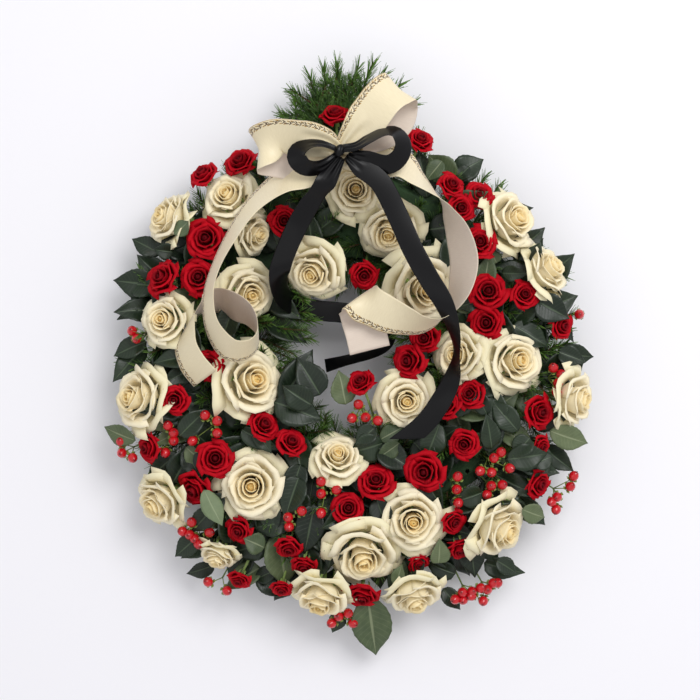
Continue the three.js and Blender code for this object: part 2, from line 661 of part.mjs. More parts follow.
// The ring: a shallow plastic tray with the foam in it
function turned(profile) {
  const outline = [...profile, profile[0]].map(([r, z]) => new THREE.Vector2(r, z));
  const lathe = new THREE.LatheGeometry(outline, RING_SEGMENTS).rotateX(Math.PI / 2);
  lathe.deleteAttribute('normal');
  lathe.deleteAttribute('uv');
  const { attributes, index } = mergeVertices(lathe, 0.001);
  return new wasm.Manifold(new wasm.Mesh({
    numProp: 3,
    vertProperties: attributes.position.array,
    triVerts: Uint32Array.from(index.array),
  }));
}

function trayRing() {
  const inner = FOAM_INNER - TRAY_GAP;
  const outer = FOAM_OUTER + TRAY_GAP;
  return turned([
    [inner - TRAY_WALL, 0], [outer + TRAY_WALL, 0], [outer + TRAY_WALL, TRAY_LIP],
    [outer, TRAY_LIP], [outer, TRAY_FLOOR], [inner, TRAY_FLOOR], [inner, TRAY_LIP],
    [inner - TRAY_WALL, TRAY_LIP],
  ]);
}

function foamRing() {
  let foam = turned([
    [FOAM_INNER, FOAM_FLOOR], [FOAM_OUTER, FOAM_FLOOR], [FOAM_OUTER, FOAM_TOP - FOAM_CHAMFER],
    [FOAM_OUTER - FOAM_CHAMFER, FOAM_TOP], [FOAM_INNER + FOAM_CHAMFER, FOAM_TOP],
    [FOAM_INNER, FOAM_TOP - FOAM_CHAMFER],
  ]);
  for (const { foot, top, radius } of stems) {
    const way = top.clone().sub(foot).normalize();
    const from = foot.clone().addScaledVector(way, -HOLE_DEEPER);
    const far = top.clone().addScaledVector(way, HOLE_BEYOND);
    foam = foam.subtract(rod([from, far], radius + HOLE_RADIUS - STEM_RADIUS, HOLE_SIDES));
  }
  return foam;
}

// The scene graph
const wreath = new THREE.Group();

function toGeometry(points, faces) {
  const geometry = new THREE.BufferGeometry();
  geometry.setAttribute('position', new THREE.Float32BufferAttribute(points.flat(), 3));
  geometry.setIndex(faces.flat());
  return geometry;
}

function solidGeometry(solid) {
  const mesh = solid.getMesh();
  const geometry = new THREE.BufferGeometry();
  geometry.setAttribute('position', new THREE.Float32BufferAttribute(mesh.vertProperties, 3));
  geometry.setIndex(Array.from(mesh.triVerts));
  return geometry;
}

function addPiece(name, geometry, color, roughness) {
  const material = new THREE.MeshStandardMaterial({ color, roughness, metalness: 0 });
  geometry.computeVertexNormals();
  const mesh = new THREE.Mesh(geometry, material);
  mesh.name = name;
  wreath.add(mesh);
}

const numbered = (name, i) => `${name}_${String(i + 1).padStart(2, '0')}`;

function addWhiteRoses() {
  WHITE_ROSES.forEach(([x, y, z, size], i) => {
    const name = numbered('white_rose', i);
    const { points, faces } = fullRose(x, y, z, size, i * ROSE_TURN, name);
    addPiece(name, toGeometry(points, faces), PETAL_WHITE, 0.6);
  });
}

function knot() {
  const middle = vec(KNOT.middle);
  const along = new THREE.Vector3(0, 1, 0);
  const rings = [[-0.5, 0.5], [-0.32, 1], [0.32, 1], [0.5, 0.5]].map(([t, share]) => ringAt(
    middle.clone().addScaledVector(along, t * KNOT.length), along, share * KNOT.radius, 8)
    .map(([x, y, z]) => [x, y, middle.z + (z - middle.z) * KNOT.tall]));
  const { points, faces } = skin(null, rings, null);
  return toSolid(points, faces);
}

function addRibbon(name, stations, width, steps, color) {
  const { points, faces } = ribbon(stations, width, steps, name);
  addPiece(name, toGeometry(points, faces), color, 0.4);
}

function addBows() {
  addRibbon('cream_bow', CREAM_LOOPS, CREAM_WIDTH, 34, CREAM);
  addRibbon('cream_tail_left', CREAM_TAIL_LEFT, CREAM_WIDTH, 22, CREAM);
  addRibbon('cream_tail_right', CREAM_TAIL_RIGHT, CREAM_WIDTH, 22, CREAM);
  const loops = ribbon(BLACK_LOOPS, BLACK_WIDTH, 30, 'black_bow');
  const tied = toSolid(loops.points, loops.faces).add(knot());
  addPiece('black_bow', solidGeometry(oneBody(tied)), BLACK, 0.4);
  addRibbon('black_tail_left', BLACK_TAIL_LEFT, BLACK_WIDTH, 22, BLACK);
  addRibbon('black_tail_right', BLACK_TAIL_RIGHT, BLACK_WIDTH, 22, BLACK);
}

// All heads are placed before any branch, so that the branches find their way between them
function addRedSprays() {
  const heads = RED_SPRAYS.map((spray, i) => spray.map(([x, y, z, size], k) => sprayHead(
    new THREE.Vector3(x, y, z), size, i + k * HEAD_TURN, numbered('red_spray', i))));
  heads.forEach((pieces, i) => {
    const name = numbered('red_spray', i);
    addPiece(name, solidGeometry(branching(pieces, name)), PETAL_RED, 0.5);
  });
}

function addBerries() {
  BERRY_SPRIGS.forEach((places, i) => {
    const name = numbered('hypericum', i);
    const pieces = places.map((p) => berry(vec(p)));
    addPiece(name, solidGeometry(branching(pieces, name)), BERRY_RED, 0.25);
  });
}

function addLeaves() {
  LEAVES.forEach((blades, i) => {
    const name = numbered('leafy_stem', i);
    const pieces = blades.map(([root, tip, width]) => leaf(vec(root), vec(tip), width));
    addPiece(name, solidGeometry(branching(pieces, name)), LEAF_GREEN, 0.5);
  });
}

function addFir() {
  FIR_TWIGS.forEach((twig, i) => {
    const name = numbered('fir_twig', i);
    addPiece(name, solidGeometry(firTwig(twig, seeded(FIR_SEED + i), name)), FIR_GREEN, 0.7);
  });
}

function addPick() {
  const foot = vec(PICK.foot);
  const top = vec(PICK.top);
  addStem(foot, top, PICK.radius);
  keep(foot, top, PICK.radius, 'bow_pick');
  addPiece('bow_pick', solidGeometry(rod([foot, top], PICK.radius, 6)), PICK_WOOD, 0.8);
}

function addRing() {
  addPiece('tray_ring', solidGeometry(trayRing()), TRAY_GREEN, 0.5);
  addPiece('foam_ring', solidGeometry(foamRing()), FOAM_GREEN, 0.9);
}

wreath.name = 'wreath';
addWhiteRoses();
addBows();
addPick();
addRedSprays();
addBerries();
addLeaves();
addFir();
addRing();

// The origin goes to the middle of the wreath's box, on the surface under the tray
const box = new THREE.Box3().setFromObject(wreath);
const centre = box.getCenter(new THREE.Vector3());
wreath.position.set(-centre.x, -centre.y, -box.min.z);

export default wreath;
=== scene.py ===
import math
import random

import bmesh
import bpy
from mathutils import Matrix, Vector


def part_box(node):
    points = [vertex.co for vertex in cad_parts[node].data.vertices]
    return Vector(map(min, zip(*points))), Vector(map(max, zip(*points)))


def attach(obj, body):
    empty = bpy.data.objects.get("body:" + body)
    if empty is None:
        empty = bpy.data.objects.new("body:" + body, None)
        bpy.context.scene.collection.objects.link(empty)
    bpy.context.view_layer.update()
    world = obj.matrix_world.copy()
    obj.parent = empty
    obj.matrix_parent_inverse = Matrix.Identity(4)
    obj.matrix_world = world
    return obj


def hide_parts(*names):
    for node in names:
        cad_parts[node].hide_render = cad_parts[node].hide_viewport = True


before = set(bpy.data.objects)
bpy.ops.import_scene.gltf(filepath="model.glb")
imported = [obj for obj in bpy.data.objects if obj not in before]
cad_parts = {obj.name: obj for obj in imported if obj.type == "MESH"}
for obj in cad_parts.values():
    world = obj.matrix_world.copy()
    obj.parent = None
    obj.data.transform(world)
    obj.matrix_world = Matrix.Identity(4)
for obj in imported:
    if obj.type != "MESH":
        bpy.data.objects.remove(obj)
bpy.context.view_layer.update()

# Tray under the foam: thin dark green polystyrene, vacuum formed into a round channel with a low
# wall on each side. It is pressed on the wet foam ring, keeps the water in and is what lies on
# the table.

def linear(colour):
    """sRGB hex to linear RGBA."""
    parts = [int(colour[i:i + 2], 16) / 255 for i in (1, 3, 5)]
    return [p / 12.92 if p <= 0.04045 else ((p + 0.055) / 1.055) ** 2.4 for p in parts] + [1.0]


def join(tree, node, links):
    """Feeds a node's inputs: each from a socket, a node's first output or a plain number."""
    for name, source in links.items():
        if isinstance(source, (int, float)):
            node.inputs[name].default_value = source
        else:
            tree.links.new(getattr(source, "outputs", [source])[0], node.inputs[name])


def add_node(tree, kind, settings=None, links=None):
    """Adds a node with its settings and links; colours are hex, ramp stops are (place, colour)."""
    made = tree.nodes.new("ShaderNode" + kind)
    for name, value in (settings or {}).items():
        if name == "stops":
            ramp = made.color_ramp
            while len(ramp.elements) < len(value):
                ramp.elements.new(1.0)
            for element, (place, colour) in zip(ramp.elements, value):
                element.position = place
                element.color = linear(colour)
            continue
        if isinstance(value, str) and value.startswith("#"):
            value = linear(value)
        if isinstance(name, int) or name in made.inputs:
            made.inputs[name].default_value = value
        else:
            setattr(made, name, value)
    join(tree, made, links or {})
    return made


def start_material(name, settings):
    """A material with its shader's plain settings; returns it with its tree and shader."""
    material = bpy.data.materials.new(name)
    material.use_nodes = True
    tree = material.node_tree
    tree.nodes.clear()
    shader = add_node(tree, "BsdfPrincipled", settings)
    add_node(tree, "OutputMaterial", links={"Surface": shader})
    return material, tree, shader


def dress(name, material):
    """Gives a node that keeps its own solid its material."""
    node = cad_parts[name]
    for holder in node.material_slots:
        holder.material = material


# Moulded polystyrene: a slightly waxy sheen, with fine scuffs and a film of dust
tray_plastic, tree, shader = start_material("moulded_polystyrene", {"IOR": 1.59})
coords = add_node(tree, "TexCoord")
scuffs = add_node(tree, "TexNoise", {"Scale": 180.0, "Detail": 6.0},
                  {"Vector": coords.outputs["Object"]})
tint = add_node(tree, "ValToRGB", {"stops": [(0.3, "#17241A"), (0.7, "#27392A")]}, {"Fac": scuffs})
gloss = add_node(tree, "MapRange",
                 {"From Min": 0.3, "From Max": 0.7, "To Min": 0.3, "To Max": 0.55},
                 {"Value": scuffs})
join(tree, shader, {"Base Color": tint, "Roughness": gloss})
dress("tray_ring", tray_plastic)

# Floral foam ring: green phenolic foam, cut to a chamfered ring and soaked. Every stem is pushed
# into it and it holds them all by friction.
foam_grain, tree, shader = start_material("soaked_phenolic_foam", {"Roughness": 0.85, "IOR": 1.45})
coords = add_node(tree, "TexCoord")
# The cells are 0.1 mm in the real foam and drawn at 1.2 mm, so that the grain shows at all
cells = add_node(tree, "TexVoronoi", {"Scale": 830.0}, {"Vector": coords.outputs["Object"]})
patches = add_node(tree, "TexNoise", {"Scale": 45.0, "Detail": 5.0},
                   {"Vector": coords.outputs["Object"]})
tint = add_node(tree, "ValToRGB", {"stops": [(0.3, "#22351F"), (0.75, "#3E5C38")]},
                {"Fac": patches})
pores = add_node(tree, "Bump", {"Strength": 0.5, "Distance": 0.0006}, {"Height": cells})
join(tree, shader, {"Base Color": tint, "Normal": pores})
dress("foam_ring", foam_grain)

# Bow pick: a turned beech stick with a blunt end, pushed slantwise into the foam. Both bows are
# wired to its top.
beech, tree, shader = start_material("raw_beech", {"Roughness": 0.6, "IOR": 1.5})
coords = add_node(tree, "TexCoord")
along_grain = add_node(tree, "Mapping", {"Scale": (1.0, 1.0, 0.08)},
                       {"Vector": coords.outputs["Object"]})
grain = add_node(tree, "TexNoise", {"Scale": 900.0, "Detail": 4.0}, {"Vector": along_grain})
tint = add_node(tree, "ValToRGB", {"stops": [(0.35, "#8C6A3E"), (0.65, "#BF9C68")]},
                {"Fac": grain})
fibres = add_node(tree, "Bump", {"Strength": 0.3, "Distance": 0.0002}, {"Height": grain})
join(tree, shader, {"Base Color": tint, "Normal": fibres})
dress("bow_pick", beech)

# Fir greenery: twigs of noble fir with flat needles, cut to finger length and pushed into the
# foam's sides and top all round, so that no foam shows. Longer branches fan out at the top.
foam_low, foam_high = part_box("foam_ring")
RING_MIDDLE = Vector(((foam_low[0] + foam_high[0]) / 2, (foam_low[1] + foam_high[1]) / 2, 0))
FIR_TWIGS = 6
# Sprigs of each twig: 30 stand on the foam's top, 14 droop over the rim, 6 line the hole
TOP_SPRIGS, RIM_SPRIGS, HOLE_LINING = 30, 14, 6
FOAM_INNER, FOAM_OUTER = 128, 216  # where the lining's and the rim's sprigs come out
SPRIG_LENGTHS = (45, 65, 90)
NEEDLE_LENGTH, NEEDLE_WIDTH, NEEDLE_THICK = 19.0, 2.2, 0.7
NEEDLES_PER_MM = 1.15
TWIG_FOOT, TWIG_TIP = 1.5, 0.8
HOLE_SPRIGS = [((-104, 58, 56), (-52, 66, 74)), ((-106, 42, 50), (-44, 38, 68)),
               ((-104, 22, 56), (-46, 16, 76)), ((-108, 8, 50), (-60, -14, 72)),
               ((-96, 84, 56), (-48, 90, 70)), ((104, 22, 56), (60, 14, 74)),
               ((104, -4, 52), (58, -18, 70)), ((96, 46, 54), (58, 60, 70))]
FAN_ROOT = Vector((-23, 252, 55))
FAN_TIPS = [
    (-86, 293, 58), (-70, 317, 52), (-50, 340, 60), (-33, 352, 50), (-16, 356, 62), (10, 352, 54),
    (28, 356, 64), (42, 344, 52), (62, 330, 60), (78, 306, 62), (-104, 268, 66),
]


def grown_material(name, stops, scale):
    """Bark, needles or stalks: a colour that varies with the place and with the tone attribute."""
    material, tree, shader = start_material(name, {"Roughness": 0.5, "IOR": 1.45})
    coords = add_node(tree, "TexCoord")
    patches = add_node(tree, "TexNoise", {"Scale": scale, "Detail": 3.0},
                       {"Vector": coords.outputs["Object"]})
    tone = add_node(tree, "Attribute", {"attribute_name": "tone"})
    sum_up = add_node(tree, "Math", {"operation": "MULTIPLY_ADD", 1: 0.35},
                      {0: patches, 2: tone.outputs["Fac"]})
    tint = add_node(tree, "ValToRGB", {"stops": stops}, {"Fac": sum_up})
    join(tree, shader, {"Base Color": tint})
    return material


# Waxy needles: darker green towards each sprig's foot, lighter and yellower towards the tips
fir_needles = grown_material("waxy_fir_needles", [(0.1, "#1C3016"), (0.35, "#3A5A22"),
                                                  (0.6, "#5F8434"), (1.0, "#A2B656")], 60.0)
# Young bark: brown and rough
fir_bark = grown_material("young_fir_bark", [(0.1, "#33241A"), (1.0, "#7A5C3E")], 300.0)


def frame_matrix(root, along, up=Vector((0, 0, 1)), roll=0.0):
    """Moves a template, grown along +Y with its face to +Z, to its root and direction."""
    along = along.normalized()
    if abs(along.dot(up)) > 0.98:
        up = Vector((1, 0, 0))
    side = along.cross(up).normalized()
    face = side.cross(along)
    turned = Matrix((side, along, face)).transposed() @ Matrix.Rotation(roll, 3, "Y")
    return Matrix.Translation(root) @ turned.to_4x4()


def faces_of(verts):
    """The faces that a few new vertices belong to."""
    return {face for vert in verts for face in vert.link_faces}


def new_piece(colours=("tone",), uv=None):
    """An empty piece with the layers that its parts carry."""
    bm = bmesh.new()
    for layer in colours:
        bm.verts.layers.float_color.new(layer)
    if uv:
        bm.loops.layers.uv.new(uv)
    return bm


def keep_mesh(bm, name):
    """The mesh of a finished piece or template."""
    mesh = bpy.data.meshes.new(name)
    bm.to_mesh(mesh)
    bm.free()
    return mesh


def set_tone(bm, verts, shade):
    """Gives new vertices the tone that their material reads, 0 for dark and 1 for light."""
    tone = bm.verts.layers.float_color["tone"]
    for vert in verts:
        vert[tone] = (shade, shade, shade, 1)


def put_stem(bm, low, high, radius, taper=1.0, segments=7):
    """A straight stem between two points, in the piece's second material; returns its vertices."""
    along = high - low
    place = frame_matrix(low, along) @ Matrix.Translation((0, along.length / 2, 0))
    place = place @ Matrix.Rotation(-math.pi / 2, 4, "X")
    made = bmesh.ops.create_cone(bm, cap_ends=True, segments=segments, radius1=radius,
                                 radius2=radius * taper, depth=along.length, matrix=place)["verts"]
    for face in faces_of(made):
        face.material_index = 1
    return made


def sprig_template(length, dice):
    """A twig along +Y with needles on its sides and upper face, as a mesh to copy."""
    bm = new_piece()
    tip = Vector((0, length, 0))
    set_tone(bm, put_stem(bm, Vector(), tip, TWIG_FOOT, TWIG_TIP / TWIG_FOOT, 5), 0.3)
    count = int(length * NEEDLES_PER_MM)
    for i in range(count):
        t = 0.06 + 0.94 * (i + dice.random()) / count
        turn = dice.choice((-1, 1)) * dice.uniform(25, 110)
        lean = math.radians(62 - 36 * t + dice.uniform(-9, 9))
        size = NEEDLE_LENGTH * (1.0 - 0.3 * t ** 3) * dice.uniform(0.82, 1.1)
        out = Vector((math.sin(math.radians(turn)), 0, math.cos(math.radians(turn))))
        way = Vector((0, math.cos(lean), 0)) + out * math.sin(lean)
        place = frame_matrix(Vector((0, length * t, 0)), way, out)
        place = place @ Matrix.Translation((0, size / 2, 0))
        place = place @ Matrix.Diagonal((NEEDLE_WIDTH / 2, size, NEEDLE_THICK / 2, 1))
        place = place @ Matrix.Rotation(-math.pi / 2, 4, "X")
        shade = 0.05 + 0.3 * t + dice.uniform(-0.08, 0.12)
        made = bmesh.ops.create_cone(bm, cap_ends=True, segments=4, radius1=1.0, radius2=0.45,
                                     depth=1.0, matrix=place)
        set_tone(bm, made["verts"], shade)
    bmesh.ops.recalc_face_normals(bm, faces=bm.faces)
    return keep_mesh(bm, "sprig_template")


def put(bm, template, matrix):
    """Adds a placed copy of a template mesh to a piece."""
    copy = template.copy()
    copy.transform(matrix)
    bm.from_mesh(copy)
    bpy.data.meshes.remove(copy)


def finish_piece(bm, name, materials):
    """Turns a piece built in ring millimetres into an object at the origin, in metres."""
    bm.transform(Matrix.Translation(RING_MIDDLE) @ Matrix.Scale(0.001, 4))
    mesh = keep_mesh(bm, name)
    for material in materials:
        mesh.materials.append(material)
    mesh.shade_smooth()
    piece = bpy.data.objects.new(name, mesh)
    bpy.context.collection.objects.link(piece)
    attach(piece, "root")
    return piece


dice = random.Random(11)
sprigs = {length: [sprig_template(length, dice) for _ in range(3)] for length in SPRIG_LENGTHS}


def put_sprig(bm, root, tip, dice):
    """The sprig whose length is nearest, stretched a little to reach from root to tip."""
    along = tip - root
    nearest = min(SPRIG_LENGTHS, key=lambda length: abs(length - along.length))
    place = frame_matrix(root, along, roll=dice.uniform(-0.5, 0.5))
    stretch = Matrix.Scale(along.length / nearest, 4, Vector((0, 1, 0)))
    put(bm, dice.choice(sprigs[nearest]), place @ stretch)


def on_ring(turn, radius, height):
    """A point in ring millimetres from its turn about the middle, its reach and its height."""
    return Vector((radius * math.cos(turn), radius * math.sin(turn), height))


for i in range(FIR_TWIGS):
    bm = new_piece()
    first, last = i * math.tau / FIR_TWIGS, (i + 1) * math.tau / FIR_TWIGS
    for k in range(TOP_SPRIGS):
        turn = first + (last - first) * (k + dice.random()) / TOP_SPRIGS
        radius = 122 + 100 * dice.random()
        root = on_ring(turn, radius, 46)
        heading = turn + dice.uniform(-1.6, 1.6) + (math.pi if radius < 150 else 0)
        rise = dice.uniform(26, 46)
        tip = root + Vector((math.cos(heading) * 42, math.sin(heading) * 42, rise))
        put_sprig(bm, root, tip, dice)
    for k in range(RIM_SPRIGS):
        turn = first + (last - first) * (k + dice.random()) / RIM_SPRIGS
        out = dice.uniform(258, 282)
        root = on_ring(turn, FOAM_OUTER, dice.choice((22, 44)))
        tip = on_ring(turn + dice.uniform(-0.16, 0.16), out, root.z + dice.uniform(0, 24))
        put_sprig(bm, root, tip, dice)
    for k in range(HOLE_LINING):
        turn = first + (last - first) * (k + dice.random()) / HOLE_LINING
        root = on_ring(turn, FOAM_INNER, dice.choice((30, 50)))
        tip = on_ring(turn + dice.uniform(-0.3, 0.3), dice.uniform(72, 92),
                      root.z + dice.uniform(0, 30))
        put_sprig(bm, root, tip, dice)
    piece = finish_piece(bm, f"fir_greenery_{i + 1:02d}", [fir_needles, fir_bark])
    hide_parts(f"fir_twig_{i + 1:02d}")

# The fan at the top and the sprigs that reach into the hole, where the photograph shows them
bm = new_piece()
for root, tip in HOLE_SPRIGS:
    root, tip = Vector(root), Vector(tip)
    put_sprig(bm, root, tip, dice)
    put_sprig(bm, root + Vector((0, 8, 6)), tip + Vector((-6, 10, 8)), dice)
for tip in map(Vector, FAN_TIPS):
    root = FAN_ROOT + Vector((dice.uniform(-14, 14), dice.uniform(-10, 6), dice.uniform(-8, 8)))
    put_sprig(bm, root, tip, dice)
    for share in (0.3, 0.45, 0.6):
        start = root.lerp(tip, share)
        for side in (-1, 1):
            way = (tip - root).normalized()
            swing = Matrix.Rotation(side * dice.uniform(0.6, 0.85), 3, "Z") @ way
            put_sprig(bm, start, start + swing * dice.uniform(26, 40), dice)
finish_piece(bm, "fir_fan_top", [fir_needles, fir_bark])

# Leaves: salal and rose leaves on short stems, waxy dark green above with pale veins and dull
# grey green below. They are pushed in between the fir, so that they carry the flowers' edges.
# Foot x, y, z, tip x, y, z, width and kind: 0 dark, 1 olive, 2 with the underside up
LEAVES = [
    (-236, 80, 72, -276, 86, 66, 36, 0), (-216, 122, 84, -238, 124, 92, 22, 0),
    (-212, 142, 103, -192, 158, 115, 20, 2), (-160, 176, 74, -190, 160, 82, 18, 0),
    (112, 232, 90, 92, 208, 92, 22, 1), (146, 226, 79, 128, 210, 83, 20, 0),
    (178, 108, 92, 170, 124, 96, 18, 1), (184, 96, 92, 214, 94, 104, 20, 0),
    (226, 62, 98, 266, 40, 100, 36, 0), (254, 0, 80, 288, -12, 82, 26, 0),
    (244, -96, 80, 292, -114, 76, 32, 1), (222, -136, 96, 246, -126, 98, 26, 0),
    (172, -118, 96, 166, -76, 110, 26, 0), (190, -130, 96, 238, -124, 104, 34, 0),
    (180, -256, 65, 206, -272, 59, 22, 0), (-36, -52, 98, -64, -6, 104, 38, 0),
    (-46, -64, 103, -82, -42, 110, 34, 0), (-60, -136, 92, -76, -186, 96, 29, 0),
    (-70, -178, 89, -46, -196, 91, 30, 0), (-70, -236, 66, -84, -284, 55, 36, 1),
    (22, -302, 62, 33, -380, 42, 50, 1), (-88, -222, 72, -77, -290, 64, 48, 1),
    (-60, -262, 48, -96, -308, 44, 36, 0), (-20, -268, 48, -14, -322, 44, 38, 0),
    (-124, -240, 50, -150, -286, 46, 36, 0), (56, -262, 48, 88, -306, 46, 36, 0),
    (56, -284, 88, 62, -258, 98, 18, 1), (108, -258, 79, 110, -228, 93, 26, 1),
    (-200, -116, 86, -170, -142, 82, 30, 1), (-214, -84, 62, -242, -66, 56, 24, 0),
    (-262, -108, 78, -304, -94, 70, 26, 1), (-176, -166, 111, -154, -210, 116, 26, 2),
    (-166, -188, 88, -194, -222, 80, 28, 0), (-186, -226, 76, -216, -252, 66, 26, 0),
    (-104, -238, 89, -126, -226, 101, 28, 1), (166, -76, 100, 150, -44, 106, 22, 0),
    (204, -96, 98, 172, -60, 104, 30, 0), (218, -104, 98, 196, -128, 100, 28, 0),
    (160, -170, 96, 128, -182, 100, 30, 0), (146, -50, 100, 122, -80, 104, 26, 0),
    (30, -92, 98, 6, -112, 102, 26, 0), (60, -110, 98, 34, -130, 102, 22, 1),
    (-116, -92, 98, -96, -122, 106, 20, 0), (-154, -172, 96, -176, -200, 94, 24, 0),
    (88, -250, 84, 76, -278, 80, 16, 0), (-92, -268, 64, -120, -282, 56, 22, 0),
    (210, -192, 82, 240, -204, 74, 26, 1), (120, -222, 70, 146, -282, 52, 34, 0),
    (146, -212, 66, 186, -262, 50, 34, 0), (116, -240, 62, 112, -288, 50, 30, 0),
    (-100, 70, 70, -60, 40, 84, 30, 0), (-104, 40, 66, -52, 12, 78, 32, 0),
    (96, -8, 76, 52, -2, 88, 28, 0),
]
# More leaves between the heads: middle x and y, heading in degrees, length, width and kind
SPREAD_LEAVES = [
    (-218, -75, 170, 48, 28, 0), (-203, -136, 60, 54, 38, 0), (-166, -172, -70, 72, 24, 0),
    (-171, -205, -20, 44, 24, 1), (-121, -239, -160, 54, 36, 0), (-185, -239, -150, 56, 28, 0),
    (-49, -215, -100, 62, 38, 0), (-71, -177, -110, 54, 36, 0), (-94, -210, -170, 48, 32, 0),
    (-64, -30, 58, 74, 38, 0), (-63, -71, -20, 62, 44, 0), (21, -117, -160, 42, 38, 0),
    (51, -98, 30, 34, 24, 1), (-185, -270, -160, 36, 22, 0), (-133, -279, -150, 52, 30, 1),
    (-99, -289, -40, 42, 24, 0), (-190, -85, 45, 48, 28, 0), (-9, -43, 100, 42, 32, 1),
    (-193, 20, 100, 52, 24, 0), (-109, -107, -30, 52, 24, 0), (-194, -132, 120, 46, 28, 0),
    (55, -129, -30, 48, 34, 0), (149, -180, 20, 58, 32, 0), (199, -162, -30, 56, 32, 0),
    (218, -130, 160, 62, 40, 0), (204, -104, -20, 44, 30, 1), (173, -95, 80, 56, 30, 0),
    (177, -65, 100, 48, 28, 0), (173, -40, 30, 48, 26, 0), (256, -132, -40, 48, 28, 0),
    (276, -4, -10, 46, 30, 0), (250, 58, 20, 62, 42, 0), (199, 99, 160, 48, 28, 0),
    (166, 101, 80, 40, 24, 1), (144, 226, 30, 44, 34, 0), (112, 224, 140, 46, 36, 1),
    (-266, 85, 175, 50, 38, 0), (107, -245, -60, 46, 28, 0), (111, -266, 160, 40, 26, 0),
    (191, -268, -15, 52, 28, 0), (62, -266, 100, 40, 18, 1), (126, -306, -50, 34, 22, 0),
    (-16, -334, -110, 30, 22, 0), (-48, -262, -70, 52, 32, 0), (60, -276, -120, 50, 32, 0),
    (-150, -210, 100, 50, 30, 0), (222, -196, -50, 50, 30, 0), (150, -250, -80, 56, 34, 0),
    (-250, 130, 150, 40, 26, 0), (-214, -8, 190, 52, 30, 0), (-270, 5, 200, 44, 28, 0),
    (220, 20, -30, 52, 32, 0), (226, 70, 60, 48, 30, 0), (150, 60, 200, 44, 28, 0),
    (120, 120, 100, 46, 28, 0), (-190, 120, 250, 46, 28, 0), (-150, 30, 250, 50, 30, 0),
    (-160, -130, 300, 50, 32, 0), (100, -110, 250, 50, 32, 0), (100, -170, 300, 48, 30, 0),
    (-20, -240, 250, 52, 32, 0), (40, -200, 290, 46, 28, 0), (-230, -140, 220, 50, 30, 0),
]
HEAD_LEVEL, RIM_START = 97, 205  # the height of the heads, and the reach where they slope down
LEAF_FILL = 230
LEAF_THICK = 0.0006
# Unit outlines: how the half width runs from foot to tip, droop, and fold at the midrib
LEAF_FORMS = [(0.78, 0.16, 0.2), (0.9, 0.22, 0.12), (0.7, 0.1, 0.26)]


def leaf_template(form, seed):
    """A leaf along +Y, 1 long and 1 wide, face to +Z; its UV runs from 0 to 1 both ways."""
    fullness, droop, fold = form
    dice = random.Random(seed)
    bm = new_piece(uv="leaf")
    lay = bm.loops.layers.uv["leaf"]
    bmesh.ops.create_grid(bm, x_segments=8, y_segments=16, size=1.0)
    place = {vert: (vert.co.x, (vert.co.y + 1) / 2) for vert in bm.verts}
    for face in bm.faces:
        for loop in face.loops:
            u, v = place[loop.vert]
            loop[lay].uv = (u * 0.5 + 0.5, v)
    waves = [dice.uniform(0, math.tau) for _ in range(3)]
    for vert, (u, v) in place.items():
        half = 0.5 * math.sin(math.pi * v ** fullness) ** (0.6 + 0.55 * v) if 0 < v < 1 else 0.004
        if abs(u) > 0.9:
            half *= 1.0 + 0.018 * (1 if round(v * 16) % 2 else -1)
        x = u * half
        rise = -droop * v * v + fold * abs(x) + 0.02 * math.sin(9 * v + waves[0]) * u
        rise += 0.03 * math.sin(5 * v + waves[1]) * abs(u)
        rise += 0.015 * math.sin(14 * v + waves[2]) * u
        vert.co = (x, v, rise)
    bmesh.ops.remove_doubles(bm, verts=bm.verts, dist=0.0001)
    return keep_mesh(bm, "leaf_template")


def leaf_material(name, dark, light, vein, rough):
    """Leaf skin: tone from the attribute, a midrib and slanting side veins from the leaf's UV."""
    material, tree, shader = start_material(name, {"Roughness": rough, "IOR": 1.45})
    coords = add_node(tree, "TexCoord")
    patches = add_node(tree, "TexNoise", {"Scale": 120.0, "Detail": 4.0},
                       {"Vector": coords.outputs["Object"]})
    tone = add_node(tree, "Attribute", {"attribute_name": "tone"})
    place = add_node(tree, "UVMap", {"uv_map": "leaf"})
    parts = add_node(tree, "SeparateXYZ", links={0: place})
    off = add_node(tree, "Math", {"operation": "SUBTRACT", 1: 0.5}, {0: parts.outputs["X"]})
    away = add_node(tree, "Math", {"operation": "ABSOLUTE"}, {0: off})
    # The midrib is about 4% of the width; eleven pairs of side veins run forward to the edge
    midrib = add_node(tree, "MapRange",
                      {"From Min": 0.02, "From Max": 0.045, "To Min": 1.0, "To Max": 0.0},
                      {"Value": away})
    slant = add_node(tree, "Math", {"operation": "MULTIPLY_ADD", 1: -0.34},
                     {0: away, 2: parts.outputs["Y"]})
    times = add_node(tree, "Math", {"operation": "MULTIPLY", 1: 11.0}, {0: slant})
    ping = add_node(tree, "Math", {"operation": "PINGPONG", 1: 0.5}, {0: times})
    side_vein = add_node(tree, "MapRange",
                         {"From Min": 0.0, "From Max": 0.09, "To Min": 0.28, "To Max": 0.0},
                         {"Value": ping})
    veins = add_node(tree, "Math", {"operation": "MAXIMUM"}, {0: midrib, 1: side_vein})
    mottle = add_node(tree, "Math", {"operation": "MULTIPLY_ADD", 1: 0.4},
                      {0: patches, 2: tone.outputs["Fac"]})
    skin = add_node(tree, "ValToRGB", {"stops": [(0.15, dark), (0.95, light)]}, {"Fac": mottle})
    fade = add_node(tree, "Math", {"operation": "MULTIPLY", 1: 0.4}, {0: veins})
    mixed = add_node(tree, "Mix", {"data_type": "RGBA", 7: vein}, {0: fade, 6: skin})
    relief = add_node(tree, "Bump", {"Strength": 0.6, "Distance": 0.0006, "invert": True},
                      {"Height": veins})
    join(tree, shader, {"Base Color": mixed.outputs[2], "Normal": relief})
    return material


